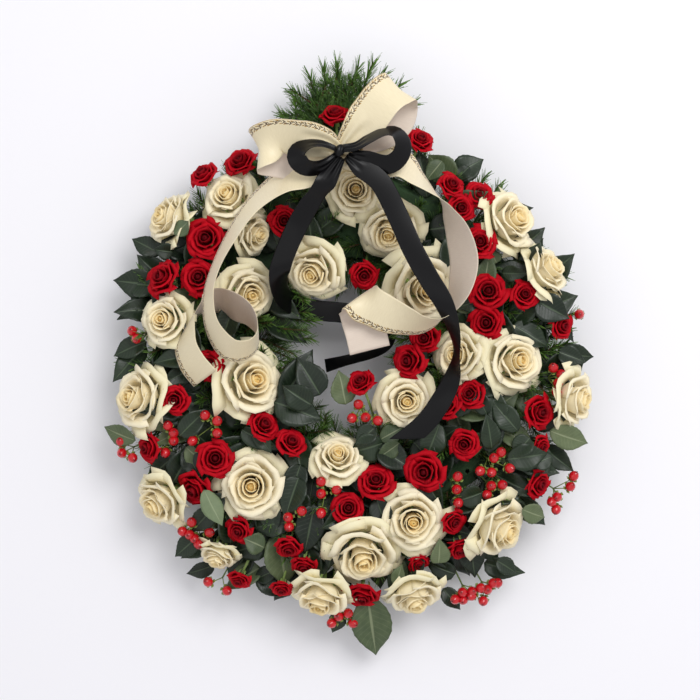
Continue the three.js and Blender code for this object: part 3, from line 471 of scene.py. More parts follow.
# Waxy cuticle: half gloss that picks up broad pale highlights; the underside is matt and paler
leaf_dark = leaf_material("waxy_leaf", "#0C190D", "#2C3D26", "#65775A", 0.36)
leaf_olive = leaf_material("olive_leaf", "#3A4A2E", "#74805A", "#A9B08C", 0.45)
leaf_back = leaf_material("leaf_underside", "#566649", "#7D8C68", "#A3AD8A", 0.6)
leaf_forms = [leaf_template(form, i) for i, form in enumerate(LEAF_FORMS)]


def put_leaf(bm, foot, tip, width, kind, dice):
    """A leaf from foot to tip; kind 0 is dark, 1 olive and 2 shows its pale underside."""
    along = tip - foot
    turn = dice.uniform(-0.35, 0.35)
    place = frame_matrix(foot, along, roll=turn + (math.pi if kind == 2 else 0))
    size = Matrix.Diagonal((width, along.length, (width + along.length) / 2, 1))
    before = len(bm.verts), len(bm.faces)
    put(bm, dice.choice(leaf_forms), place @ size)
    bm.verts.ensure_lookup_table()
    bm.faces.ensure_lookup_table()
    set_tone(bm, bm.verts[before[0]:], dice.uniform(0.0, 0.45))
    for face in bm.faces[before[1]:]:
        face.material_index = 1 if kind == 1 else 0


def thicken(piece, thickness, back=0):
    """Makes a piece's sheets this thick, with their backs in the material that many on."""
    wall = piece.modifiers.new("thickness", "SOLIDIFY")
    wall.thickness = thickness
    wall.offset = 0
    wall.material_offset = back
    return wall


# Where the share of each of the five leafy stems ends, in degrees round the ring
STEM_ENDS = (90, 200, 250, 300, 361)


def sector(point):
    """Which leafy stem is nearest to a point, going round the ring."""
    turn = math.atan2(point[1], point[0]) % math.tau
    return next(i for i, last in enumerate(STEM_ENDS) if math.degrees(turn) < last)


dice = random.Random(23)
leafy = [new_piece(uv="leaf") for _ in STEM_ENDS]
for *ends, width, kind in LEAVES:
    foot, tip = Vector(ends[:3]), Vector(ends[3:])
    put_leaf(leafy[sector(foot)], foot, tip, width, kind, dice)
# Spread leaves lie level with the heads and lower towards the rim
for x, y, heading, length, width, kind in SPREAD_LEAVES:
    reach = math.hypot(x, y)
    middle = Vector((x, y, HEAD_LEVEL - 0.42 * max(0.0, reach - RIM_START)))
    turn = math.radians(heading)
    half = Vector((math.cos(turn), math.sin(turn), 0.08)) * length / 2
    put_leaf(leafy[sector((x, y))], middle - half, middle + half, width, kind, dice)
# Small leaves fill what is left, with fewer of them at the top, where fir shows
for k in range(LEAF_FILL):
    turn = math.tau * (k + dice.random()) / LEAF_FILL
    radius = dice.uniform(116, 252)
    if 0.9 < turn < 2.5 and dice.random() < 0.75:
        continue
    foot = on_ring(turn, radius, dice.uniform(62, 82) - max(0, radius - 200) * 0.4)
    heading = turn + dice.uniform(-1.5, 1.5)
    length = dice.uniform(40, 60)
    reach = Vector((math.cos(heading), math.sin(heading), dice.uniform(0.1, 0.55))) * length
    tip = foot + reach
    if math.hypot(tip.x, tip.y) > 296:
        tip = foot + reach * 0.5
    kind = 0 if dice.random() < 0.88 else 1
    put_leaf(leafy[sector(foot)], foot, tip, dice.uniform(26, 38), kind, dice)
for i, bm in enumerate(leafy):
    piece = finish_piece(bm, f"leafy_greens_{i + 1:02d}",
                         [leaf_dark, leaf_olive, leaf_back, leaf_back])
    thicken(piece, LEAF_THICK, 2)
    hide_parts(f"leafy_stem_{i + 1:02d}")

# Hypericum: sprigs of glossy red berries, each on a short green stalk above a cup of five sepals,
# with a dark point where the flower was. The stems are pushed into the foam between the roses.
BERRY_SIZE = 13.5
SEPAL_SIZE = (3.8, 0.6, 6.6, 1)
# The berries of each sprig in their small clusters: x, y, z in ring millimetres
BERRIES = {
    "hypericum_01": [
        [(-266, 26, 81), (-260, 16, 83)],
        [(-175, -76, 106), (-160, -83, 108), (-160, -98, 107), (-191, -108, 97)],
        [(-221, -89, 94), (-214, -98, 94), (-214, -108, 92), (-225, -123, 86)],
        [(-281, -110, 70), (-280, -124, 68), (-266, -130, 71)],
        [(-193, -207, 84), (-205, -219, 78), (-196, -223, 80), (-190, -228, 78), (-185, -235, 77),
         (-171, -220, 82)],
        [(-175, -283, 59), (-151, -294, 60)]],
    "hypericum_02": [
        [(-35, -156, 108), (-35, -171, 108), (-16, -166, 108), (-35, -195, 104)],
        [(-58, -192, 104), (-75, -200, 102), (-74, -212, 98)],
        [(10, -63, 103), (2, -80, 104), (19, -79, 104), (34, -83, 105)],
        [(-2, -321, 63), (-14, -325, 62), (-23, -334, 59), (4, -334, 59)]],
    "hypericum_03": [
        [(183, -121, 100), (174, -128, 102), (157, -144, 103), (171, -146, 100), (194, -141, 96)],
        [(171, -162, 98), (185, -161, 95), (166, -173, 96)],
        [(130, -150, 107), (129, -166, 105), (131, -183, 100)],
        [(275, -152, 65), (271, -165, 64), (254, -178, 67), (247, -184, 68), (253, -194, 64)],
        [(138, -295, 66), (129, -304, 64), (139, -305, 62), (150, -294, 64), (161, -290, 63)],
        [(169, -292, 62), (164, -307, 58), (176, -284, 62), (182, -284, 60), (149, -300, 62)]],
    "hypericum_04": [
        [(280, 46, 78)],
        [(247, -19, 90), (257, -27, 88), (253, -38, 90), (251, -49, 90)]],
}

# Berry skin: smooth and waxy, so it carries a small hard highlight; darker at the point
berry_skin, tree, shader = start_material("waxy_berry_skin",
                                          {"Roughness": 0.16, "IOR": 1.45, "Coat Weight": 0.4})
coords = add_node(tree, "TexCoord")
tone = add_node(tree, "Attribute", {"attribute_name": "tone"})
blush = add_node(tree, "TexNoise", {"Scale": 140.0}, {"Vector": coords.outputs["Object"]})
sum_up = add_node(tree, "Math", {"operation": "MULTIPLY_ADD", 1: 0.3},
                  {0: blush, 2: tone.outputs["Fac"]})
tint = add_node(tree, "ValToRGB",
                {"stops": [(0.1, "#CE1420"), (0.4, "#A80E19"), (0.85, "#2A0808")]},
                {"Fac": sum_up})
join(tree, shader, {"Base Color": tint})
# Fresh stalk and sepals: dull yellow green, half matt
fresh_stalk = grown_material("fresh_green_stalk", [(0.1, "#4A6429"), (0.8, "#8F9F4C")], 200.0)


def berry_template():
    """A berry along +Y from its stalk's end, with sepals below and a dark point on top."""
    bm = new_piece()
    tone = bm.verts.layers.float_color["tone"]
    made = bmesh.ops.create_uvsphere(bm, u_segments=12, v_segments=8, radius=BERRY_SIZE / 2)
    half = BERRY_SIZE / 2
    for vert in made["verts"]:
        x, y, z = vert.co
        t = (z + half) / (2 * half)
        pull = 1 - 0.28 * max(0, t - 0.55) / 0.45
        vert.co = (x * pull * 0.94, (z + half) * 1.1, y * pull * 0.94)
        shade = 0.02 + 0.5 * max(0.0, t - 0.93) / 0.07
        vert[tone] = (shade, shade, shade, 1)
    point = Matrix.Translation((0, 2.2 * half + 0.9, 0)) @ Matrix.Rotation(-math.pi / 2, 4, "X")
    made = bmesh.ops.create_cone(bm, cap_ends=True, segments=4, radius1=0.6, radius2=0.15,
                                 depth=1.8, matrix=point)
    set_tone(bm, made["verts"], 0.9)
    for k in range(5):
        turn = Matrix.Rotation(k * math.tau / 5 + 0.2, 4, "Y")
        lay = turn @ Matrix.Translation((0, 0.8, 4.2)) @ Matrix.Rotation(-0.5, 4, "X")
        lay = lay @ Matrix.Diagonal(SEPAL_SIZE)
        made = bmesh.ops.create_cube(bm, size=1.0, matrix=lay)
        set_tone(bm, made["verts"], 0.5)
        for face in faces_of(made["verts"]):
            face.material_index = 1
    bmesh.ops.recalc_face_normals(bm, faces=bm.faces)
    return keep_mesh(bm, "berry_template")


dice = random.Random(31)
berry = berry_template()
for name, groups in BERRIES.items():
    bm = new_piece()
    for group in groups:
        # Each cluster forks just below its berries, from a stem that enters the nearest foam
        middle = sum((Vector(p) for p in group), Vector()) / len(group)
        reach = math.hypot(middle.x, middle.y)
        hub = Vector((middle.x, middle.y, 0)) * ((reach - 10) / reach)
        hub.z = min(86, middle.z - 20)
        foot = hub * (min(max(reach, 134), 206) / reach)
        foot.z = 36
        set_tone(bm, put_stem(bm, foot, hub, 1.3, 0.8, 5), 0.1)
        for point in map(Vector, group):
            away = Vector((point.x - middle.x, point.y - middle.y, 22)).normalized()
            low = point - away * BERRY_SIZE * 0.55
            set_tone(bm, put_stem(bm, hub, low, 0.7, 0.8, 5), 0.5)
            put(bm, berry, frame_matrix(low, away, Vector((0, 1, 0)), dice.uniform(0, 6)))
    piece = finish_piece(bm, f"{name}_berries", [berry_skin, fresh_stalk])
    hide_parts(name)

# Red spray roses: small double roses, several to a branching stem, with five green sepals under
# each head. Each stem is pushed into the foam and its heads stand level with the white roses.
RED_SPRAYS = [
    [(-18, 291, 74, 32), (86, 259, 82, 29), (123, 202, 99, 30), (134, 174, 104, 30),
     (157, 191, 94, 31), (156, 132, 112, 36)],
    [(-179, 217, 78, 32), (-134, 232, 84, 34), (-174, 137, 104, 43)],
    [(-79, 158, 105, 32), (17, 93, 104, 30)],
    [(-228, 90, 95, 39), (-183, 90, 104, 39), (-171, -16, 104, 34)],
    [(167, 73, 104, 40), (165, 35, 104, 37), (211, 69, 104, 30), (258, 32, 88, 29)],
    [(90, 17, 104, 32), (71, -11, 105, 37), (13, -36, 104, 30), (145, -51, 104, 32),
     (116, -64, 104, 30), (138, -111, 104, 32), (90, -145, 104, 43)],
    [(230, -73, 97, 37), (232, -115, 88, 25), (231, -161, 78, 32), (126, -206, 96, 27),
     (135, -240, 81, 31), (84, -258, 82, 24)],
    [(31, -156, 104, 39), (-2, -189, 104, 34), (-74, -238, 93, 30), (-135, -217, 90, 30),
     (-136, -279, 72, 25), (-56, -260, 84, 27), (-84, -290, 72, 24), (15, -299, 71, 37)],
    [(-163, -129, 104, 39), (-189, -167, 90, 40), (-246, -117, 82, 32), (-71, -109, 104, 32),
     (-104, -88, 104, 34), (-212, -58, 107, 32)],
]
# Rings of petals from the heart out: count, radius, height, flare of the lip, half angle, roll
RED_RINGS = [
    (3, .06, .62, -.04, 1.9, 0), (3, .14, .64, 0, 1.45, .01), (4, .22, .6, .03, 1.15, .04),
    (4, .32, .53, .05, 1.1, .07), (5, .42, .42, .07, .95, .1),
]


def petal_material(name, stops, rough, sheen, low, share, low_from, low_to):
    """Petal skin: colour from the ring's depth in the head, with fine veins.

    The petal's lower part has a share of the colour low, which ends between two heights; in the
    red heads that foot colour is painted shade, in the white ones a greenish tint of the petal's
    own.
    The heart end of the depth colours is painted shade in the red heads and partly a painted warm
    glow in the white ones."""
    material, tree, shader = start_material(name, {
        "Roughness": rough, "IOR": 1.25, "Sheen Weight": sheen, "Sheen Roughness": 0.4})
    marks = add_node(tree, "Attribute", {"attribute_name": "petal"})
    parts = add_node(tree, "SeparateColor", links={0: marks})
    coords = add_node(tree, "TexCoord")
    patches = add_node(tree, "TexNoise", {"Scale": 90.0, "Detail": 4.0},
                       {"Vector": coords.outputs["Object"]})
    # Depth runs from 0 in the heart to 1 at the outer petals; the rim is the paler or greener end
    sway = add_node(tree, "Math", {"operation": "MULTIPLY_ADD", 1: 0.22, 2: -0.11}, {0: patches})
    depth = add_node(tree, "Math", {"operation": "ADD"}, {0: parts.outputs["Red"], 1: sway})
    tint = add_node(tree, "ValToRGB", {"stops": stops}, {"Fac": depth})
    foot = add_node(tree, "MapRange",
                    {"From Min": low_from, "From Max": low_to, "To Min": share, "To Max": 0.0},
                    {"Value": parts.outputs["Green"]})
    skin = add_node(tree, "Mix", {"data_type": "RGBA", 7: low}, {0: foot, 6: tint})
    join(tree, shader, {"Base Color": skin.outputs[2]})
    place = add_node(tree, "UVMap", {"uv_map": "petal_veins"})
    # Veins fan along the petal about 1 mm apart
    stretch = add_node(tree, "Mapping", {"Scale": (1.0, 0.09, 1.0)}, {"Vector": place})
    veins = add_node(tree, "TexNoise", {"Scale": 1.1, "Detail": 3.0}, {"Vector": stretch})
    relief = add_node(tree, "Bump", {"Strength": 0.22, "Distance": 0.0005}, {"Height": veins})
    join(tree, shader, {"Normal": relief})
    return material


# Velvety red petals: matt deep red, with painted shade: almost black in the heart and darker
# towards each petal's foot
red_petal = petal_material(
    "velvety_red_petal",
    [(0.05, "#5C000C"), (0.45, "#A00014"), (0.8, "#C20018"), (1.0, "#B40016")],
    0.7, 0.0, "#4A0008", 0.65, 0.15, 0.85)
# Rose stalk and sepals: mid green, matt
rose_green = grown_material("rose_sepal_green", [(0.1, "#3C5A2E"), (1.0, "#8AA35A")], 150.0)


def bend_petal(t, radius, height, lip):
    """Radius and height on the side line of a cup, as a cubic through its four handles."""
    r = (0.05, 1.05 * radius + 0.02, 1.02 * radius + 0.3 * lip, radius + lip)
    z = (0.02, 0.06, 0.85 * height, height)
    weights = ((1 - t) ** 3, 3 * t * (1 - t) ** 2, 3 * t * t * (1 - t), t ** 3)
    return sum(w * p for w, p in zip(weights, r)), sum(w * p for w, p in zip(weights, z))


def put_petal(bm, place, size, ring, turn, marks, dice, cells):
    """One petal of a ring, set into the head whose matrix is place."""
    _, radius, height, lip, half_angle, roll = ring
    depth, chance = marks
    tone, lay = bm.verts.layers.float_color["petal"], bm.loops.layers.uv["petal_veins"]
    made = bmesh.ops.create_grid(bm, x_segments=cells[0], y_segments=cells[1], size=1.0)["verts"]
    spots = {vert: (vert.co.x, (vert.co.y + 1) / 2) for vert in made}
    width = radius * half_angle * 2 * size
    for face in faces_of(made):
        for loop in face.loops:
            u, v = spots[loop.vert]
            loop[lay].uv = (u * width / 2 + chance * 90, v * height * size)
    tip = dice.uniform(0.9, 1.08)
    waves = [dice.uniform(0, math.tau) for _ in range(3)]
    twist = dice.uniform(-0.05, 0.05)
    for vert, (u, v) in spots.items():
        t = v * (1 - 0.13 * abs(u) ** 3) * tip
        r, z = bend_petal(min(t, 1.0), radius, height, lip)
        over = max(0.0, (v - 0.72) / 0.28)
        side_roll = roll * (1 + 0.6 * abs(u) ** 2)
        r += side_roll * over ** 2
        z -= 0.75 * side_roll * over ** 2
        if u > 0:
            r *= 1 + 0.1 * u * v
        else:
            r *= 1 + 0.03 * u * v
        r += 0.014 * math.sin(3.1 * u + waves[0]) * v * (0.3 + radius * 3)
        z += 0.07 * radius * math.sin(3.7 * u + waves[1]) * v * v / 0.4
        r += 0.018 * math.sin(7.5 * u + waves[2]) * over * (radius > 0.2)
        angle = turn + u * half_angle * (0.55 + 0.45 * math.sin(math.pi * min(v + 0.25, 1) / 2)) \
            + twist * v
        vert.co = place @ (Vector((r * math.cos(angle), r * math.sin(angle), z)) * size)
        vert[tone] = (depth, v, abs(u), 1)


def put_rose(bm, base, axis, size, rings, dice, cells):
    """A head whose foot is at base and which opens along axis; size is its diameter."""
    spin = dice.uniform(0, math.tau)
    across = axis.cross(Vector((0.3, 0.2, 0.93))).normalized() if abs(axis.z) < 0.9 else \
        axis.cross(Vector((1, 0, 0))).normalized()
    turned = Matrix((across, axis.cross(across), axis)).transposed()
    place = Matrix.Translation(base) @ turned.to_4x4()
    # A core closes the heart, where the inner petals leave a gap; it takes the heart's colour,
    # which in the red heads is painted shade
    tone = bm.verts.layers.float_color["petal"]
    core = place @ Matrix.Translation((0, 0, size * 0.36)) @ Matrix.Diagonal((0.11, 0.11, 0.22, 1))
    for vert in bmesh.ops.create_uvsphere(bm, u_segments=8, v_segments=6, radius=size,
                                          matrix=core)["verts"]:
        vert[tone] = (0.08, 0.8, 0.3, 1)
    for k, ring in enumerate(rings):
        count = ring[0]
        lead = spin + k * 1.9
        for i in range(count):
            turn = lead + i * math.tau / count + dice.uniform(-0.16, 0.16)
            loose = list(ring)
            loose[1] *= dice.uniform(0.95, 1.05)
            loose[2] *= dice.uniform(0.95, 1.04)
            loose[3] += dice.uniform(-0.01, 0.02) * (k > 2)
            loose[4] *= dice.uniform(0.92, 1.08)
            put_petal(bm, place, size, loose, turn, (k / (len(rings) - 1), dice.random()), dice,
                      cells[k])


def put_sepals(bm, base, axis, size, dice):
    """The green cup and five sepals under a head."""
    tone = bm.verts.layers.float_color["petal"]
    place = frame_matrix(base, axis, Vector((0, 1, 0)))
    cup = place @ Matrix.Rotation(-math.pi / 2, 4, "X")
    made = bmesh.ops.create_cone(bm, cap_ends=True, segments=8, radius1=size * 0.05,
                                 radius2=size * 0.11, depth=size * 0.12, matrix=cup)["verts"]
    for k in range(5):
        turn = Matrix.Rotation(k * math.tau / 5 + dice.uniform(-0.2, 0.2), 4, "Y")
        lay = place @ turn @ Matrix.Rotation(dice.uniform(-0.25, 0.2), 4, "X")
        lay = lay @ Matrix.Translation((0, size * 0.02, size * 0.22))
        lay = lay @ Matrix.Rotation(math.pi / 2, 4, "X")
        made += bmesh.ops.create_cone(bm, cap_ends=True, segments=4, radius1=size * 0.02,
                                      radius2=size * 0.07, depth=size * 0.34,
                                      matrix=lay @ Matrix.Diagonal((1, 0.25, 1, 1)))["verts"]
    for vert in made:
        shade = dice.uniform(0.2, 0.5)
        vert[tone] = (shade, 0.5, 0.5, 1)
    for face in faces_of(made):
        face.material_index = 1


def facing(point):
    """The way a head looks: up, and outwards near the rims of the wreath."""
    reach = math.hypot(point.x, point.y)
    lean = min(max((reach - 195) / 75, -0.55), 1.35)
    inner = lean * 0.4 if abs(lean) < 0.35 else lean
    return Vector((point.x / reach * inner, point.y / reach * inner, 1)).normalized()


def in_foam(x, y, inner, outer, height):
    """Where a stem enters the foam: under its head, or as near to it as the ring allows."""
    reach = math.hypot(x, y)
    point = Vector((x, y, 0)) * (min(max(reach, inner), outer) / reach)
    point.z = height
    return point


RED_CELLS = [(4, 4), (4, 4), (5, 5), (6, 6), (6, 6)]
HEAD_DEPTH = 0.34  # how far the foot of a head lies below its middle, as a share of its size
dice = random.Random(47)
for i, heads in enumerate(RED_SPRAYS):
    bm = new_piece(("petal", "tone"), "petal_veins")
    for x, y, z, size in heads:
        middle = Vector((x, y, z))
        axis = facing(middle)
        axis = (axis + Vector((dice.uniform(-0.2, 0.2), dice.uniform(-0.2, 0.2), 0))).normalized()
        base = middle - axis * size * HEAD_DEPTH
        put_stem(bm, in_foam(x, y, 134, 206, 36), base, 1.4)
        put_sepals(bm, base, axis, size, dice)
        put_rose(bm, base, axis, size * 0.96, RED_RINGS, dice, RED_CELLS)
    piece = finish_piece(bm, f"red_roses_{i + 1:02d}", [red_petal, rose_green])
    thicken(piece, 0.0005)
    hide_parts(f"red_spray_{i + 1:02d}")

# White roses: large cut roses, half to fully open, ivory with a warm gold heart that is partly a
# painted glow, and greenish outer petals. Each has one thick stem, cut short and pushed into the
# foam towards the middle.
WHITE_ROSES = [
    (-222, 163, 81, 62), (-147, 188, 97, 62), (-116, 143, 100, 51), (-123, 71, 100, 62),
    (-224, 39, 99, 59), (-258, -56, 85, 74), (-119, -35, 100, 80), (-119, -162, 100, 75),
    (-15, -127, 100, 57), (-234, -184, 73, 65), (-162, -250, 74, 45), (-36, -301, 73, 68),
    (16, -247, 92, 80), (76, -204, 100, 75), (79, -299, 74, 64), (184, -214, 79, 77),
    (275, -58, 79, 64), (200, -11, 100, 70), (131, -4, 100, 59), (68, -59, 100, 62),
    (240, 101, 87, 65), (196, 160, 90, 70), (90, 77, 100, 82), (48, 146, 100, 68),
    (7, 196, 100, 63), (-44, 97, 100, 65),
]
# Heads that the photograph shows turned otherwise than straight out of the ring: axis x, y, z
WHITE_TURNED = {1: (-0.9, 0.35, 0.55), 3: (0.75, -0.2, 0.6), 6: (-0.75, 0.1, 0.7),
                11: (-0.3, -0.9, 0.5), 12: (-0.2, -0.85, 0.6), 15: (0.25, -0.9, 0.5),
                16: (0.75, -0.45, 0.6), 17: (0.9, -0.15, 0.5), 21: (0.85, 0.45, 0.5),
                22: (0.75, 0.3, 0.75), 23: (0.35, -0.25, 1.0), 26: (-0.3, -0.45, 0.9),
                18: (0.45, 0.05, 0.9), 20: (0.1, -0.1, 1.0)}
WHITE_RINGS = [
    (3, .045, .64, -.03, 1.9, 0), (3, .085, .67, -.01, 1.6, .005), (3, .13, .67, .005, 1.5, .015),
    (3, .18, .65, .02, 1.45, .03), (4, .25, .59, .06, 1.2, .05), (4, .345, .48, .09, 1.15, .07),
    (5, .42, .31, .135, .98, .1),
]
WHITE_CELLS = [(5, 5), (5, 5), (6, 6), (7, 7), (8, 7), (8, 8), (8, 8)]

# Ivory petals: thin with a soft bloom and greenish at the base; the pale gold heart is partly the
# rose's own colour and partly a painted warm glow of light through the petals
white_petal = petal_material(
    "ivory_rose_petal", [(0.0, "#F1D48C"), (0.22, "#F8E2AC"), (0.45, "#FAEABF"), (0.8, "#F9EECF"),
                         (1.0, "#F3EAC4")], 0.5, 0.2, "#E0DDA8", 0.45, 0.0, 0.35)

dice = random.Random(59)
for number, (x, y, z, size) in enumerate(WHITE_ROSES, 1):
    bm = new_piece(("petal", "tone"), "petal_veins")
    middle = Vector((x, y, z))
    axis = Vector(WHITE_TURNED[number]).normalized() if number in WHITE_TURNED else facing(middle)
    base = middle - axis * size * HEAD_DEPTH
    put_stem(bm, in_foam(x, y, 133, 200, 34), base, 2.2)
    put_sepals(bm, base, axis, size, dice)
    put_rose(bm, base, axis, size * 0.92, WHITE_RINGS, dice, WHITE_CELLS)
    piece = finish_piece(bm, f"ivory_rose_{number:02d}", [white_petal, rose_green])
    thicken(piece, 0.0006)
    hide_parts(f"white_rose_{number:02d}")

# Cream bow and tails: 50 mm double-faced satin with a printed border of small gold and brown
# leaves along one edge. The bow is two loops gathered at the pick; the tails hang from it.
CREAM_WIDTH = 50
# Stations along each ribbon: x, y, z, the turn of its width in plan, its tilt, and the share of
# the width that is left where it is gathered
CREAM_LEFT = [
    (-12, 226, 160, -74, 0, .35), (-46, 216, 157, -71, 20, .9), (-80, 203, 152, -59, 50),
    (-116, 174, 148, -43, 64), (-142, 136, 146, -31, 70), (-160, 100, 147, -21, 74),
    (-168, 68, 149, -3, 72), (-164, 32, 151, 21, 66), (-144, 4, 152, 57, 56),
    (-120, 4, 151, 117, 68), (-109, 20, 147, 180, 90), (-118, 42, 140, 222, 112),
    (-139, 55, 128, 250, 125), (-166, 56, 104, 274, 118), (-190, 42, 106, 328, 88),
    (-198, 12, 118, 357, 58), (-190, -12, 122, 384, 46), (-174, -32, 120, 400, 44),
]
CREAM_RIGHT = [
    (-10, 226, 156, 80, 0, .35), (24, 228, 152, 80, -15, .8), (59, 224, 153, 65, -40),
    (79, 207, 152, 46, -62), (97, 191, 151, 48, -78), (110, 178, 150, 38, -90),
    (118, 162, 150, 28, -106), (128, 140, 150, 22, -122), (135, 109, 149, 2, -129),
    (131, 79, 148, -13, -122), (121, 54, 147, -32, -104), (106, 38, 146, -60, -86),
    (86, 33, 145, -90, -65), (66, 37, 144, -106, -48), (43, 45, 143, -100, -28),
    (24, 55, 141, -97, -14), (8, 64, 133, -144, 49), (12, 48, 122, -190, 0),
    (19, 24, 118, -180, 10), (24, 2, 114, -168, 8),
]
CREAM_LOOP_LEFT = [
    (-12, 238, 160, 90, 0, .35), (-30, 246, 168, 80, 20, .7), (-58, 250, 176, 85, 38),
    (-88, 252, 178, 88, 40), (-108, 236, 165, 90, 0), (-92, 232, 150, 90, -10),
    (-60, 228, 148, 90, -5), (-30, 230, 150, 90, 0, .7), (-12, 236, 152, 90, 0, .35),
]
CREAM_LOOP_RIGHT = [
    (-12, 238, 160, -30, 0, .35), (5, 257, 168, -25, 0, .7), (21, 275, 176, -24, 15),
    (36, 295, 180, -25, 15), (49, 307, 176, -30, 5), (59, 310, 166, -44, 0),
    (56, 296, 152, -44, -8), (52, 276, 148, -40, -10), (30, 256, 148, -35, 0, .8),
    (-8, 240, 153, -30, 0, .35),
]
CLOTH_COLUMNS = 20
STEP_LENGTH = 4.0  # millimetres between rows along a ribbon
CLOTH_PLEATS = 2.5  # waves across the width where it is gathered
CLOTH_THICK = 0.0004


def spline(stations, t):
    """A point on the smooth curve through the stations; t counts stations."""
    last = len(stations) - 1
    i = min(int(t), last - 1)
    f = t - i
    four = [stations[min(max(i + k, 0), last)] for k in (-1, 0, 1, 2)]
    out = []
    for a, b, c, d in zip(*four):
        out.append(0.5 * (2 * b + (c - a) * f + (2 * a - 5 * b + 4 * c - d) * f * f
                          + (3 * b - a - 3 * c + d) * f ** 3))
    return out


def satin_strip(bm, stations, width, gold, slant):
    """A ribbon through its stations; UV is in millimetres, from its gold edge and along it.

    gold is the side of the printed edge, slant how much shorter the edge at u = 1 is."""
    stations = [tuple(s) + ((1.0,) if len(s) == 5 else ()) for s in stations]
    fine = [spline(stations, k / 40) for k in range(40 * (len(stations) - 1) + 1)]
    run = [0.0]
    for a, b in zip(fine, fine[1:]):
        run.append(run[-1] + (Vector(b[:3]) - Vector(a[:3])).length)
    rows = max(8, int(run[-1] / STEP_LENGTH))
    lay = bm.loops.layers.uv["cloth"]
    made = bmesh.ops.create_grid(bm, x_segments=CLOTH_COLUMNS, y_segments=rows, size=1.0)["verts"]
    spots = {}
    for vert in made:
        u, v = vert.co.x, (vert.co.y + 1) / 2
        spots[vert] = (u, v * (1 - slant / run[-1] * (1 + u) / 2))
    for face in faces_of(made):
        for loop in face.loops:
            u, v = spots[loop.vert]
            loop[lay].uv = (width * (1 - u * gold) / 2, v * run[-1])
    levels = {}
    for v in {round(spot[1], 6) for spot in spots.values()}:
        target = v * run[-1]
        k = max(next((j for j, r in enumerate(run) if r >= target), len(run) - 1), 1)
        f = (target - run[k - 1]) / max(run[k] - run[k - 1], 1e-6)
        x, y, z, turn, tilt, share = (a + (b - a) * f for a, b in zip(fine[k - 1], fine[k]))
        turn, tilt = math.radians(turn), math.radians(tilt)
        side = Vector((math.cos(turn) * math.cos(tilt), math.sin(turn) * math.cos(tilt),
                       math.sin(tilt)))
        along = (Vector(fine[k][:3]) - Vector(fine[k - 1][:3])).normalized()
        side = (side - along * side.dot(along)).normalized()
        levels[v] = (Vector((x, y, z)), side, along.cross(side), min(max(share, 0.25), 1.0))
    for vert, (u, v) in spots.items():
        middle, side, front, share = levels[round(v, 6)]
        # The waves are as deep as the width that the gathering takes in
        wave = 0.45 * width * math.sqrt(1 - share ** 2) / math.pi / CLOTH_PLEATS
        rise = wave * math.sin(u * CLOTH_PLEATS * math.pi) + 0.6 * (1 - u * u)
        vert.co = middle + side * (u * share * width / 2) + front * rise


def satin_piece(name, strips, width, materials, cad_node, slant=0.0):
    """One piece from strips of (stations, gold side), thick as satin."""
    bm = new_piece((), "cloth")
    for stations, gold in strips:
        satin_strip(bm, stations, width, gold, slant)
    piece = finish_piece(bm, name, materials)
    back = len(materials) - 1
    thicken(piece, CLOTH_THICK, back).material_offset_rim = back
    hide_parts(cad_node)
    return piece


# Printed border: a curl with leaves, 5.6 mm along the ribbon and turned over every second time.
# Each row names a value and how it comes from others; x and y are mm from the motif's middle.
MOTIF = [
    ("steps", "DIVIDE", "along", 5.6), ("share", "FRACT", "steps"),
    ("centred", "SUBTRACT", "share", 0.5), ("x", "MULTIPLY", "centred", 5.6),
    ("count", "FLOOR", "steps"), ("odd", "MODULO", "count", 2),
    ("flip", "MULTIPLY_ADD", "odd", -2, 1), ("above", "SUBTRACT", "across", 4.8),
    ("y", "MULTIPLY", "above", "flip"),
    # The curl is part of a ring of 1.5 mm radius, open to one side
    ("yy", "MULTIPLY", "y", "y"), ("square", "MULTIPLY_ADD", "x", "x", "yy"),
    ("reach", "SQRT", "square"), ("off", "SUBTRACT", "reach", 1.5), ("away", "ABSOLUTE", "off"),
    ("band", "LESS_THAN", "away", 0.5), ("lean", "MULTIPLY_ADD", "y", 0.5, "x"),
    ("side", "GREATER_THAN", "lean", -0.7), ("dark", "MULTIPLY", "band", "side"),
    # A thin gold line runs along the edge
    ("edge", "SUBTRACT", "across", 0.5), ("from_edge", "ABSOLUTE", "edge"),
    ("gold", "LESS_THAN", "from_edge", 0.25),
]
# Small leaves: ink, middle x and y, lean in radians, half length and half width
MOTIF_LEAVES = [
    ("dark", -1.8, 1.7, 0.6, 1.5, 0.6), ("dark", 1.7, -2.3, 2.4, 1.3, 0.5),
    ("dark", 2.5, 1.6, 1.3, 0.9, 0.45), ("dark", 0.0, 0.0, 0.0, 0.5, 0.5),
    ("gold", -1.9, -1.9, 2.6, 1.3, 0.65), ("gold", 0.6, 2.7, 0.3, 1.3, 0.6),
]
INKS = {"gold": "#AC8430", "dark": "#4A2E0C"}


def leaf_rows(ink, middle_x, middle_y, lean, long_half, short_half):
    """The rows that add an ellipse to what an ink covers."""
    c, d = math.cos(lean), math.sin(lean)
    return [("dx", "SUBTRACT", "x", middle_x), ("dy", "SUBTRACT", "y", middle_y),
            ("part", "MULTIPLY", "dy", d / long_half),
            ("a", "MULTIPLY_ADD", "dx", c / long_half, "part"),
            ("part", "MULTIPLY", "dx", -d / short_half),
            ("b", "MULTIPLY_ADD", "dy", c / short_half, "part"),
            ("aa", "MULTIPLY", "a", "a"), ("sum", "MULTIPLY_ADD", "b", "b", "aa"),
            ("inside", "LESS_THAN", "sum", 1), (ink, "MAXIMUM", ink, "inside")]


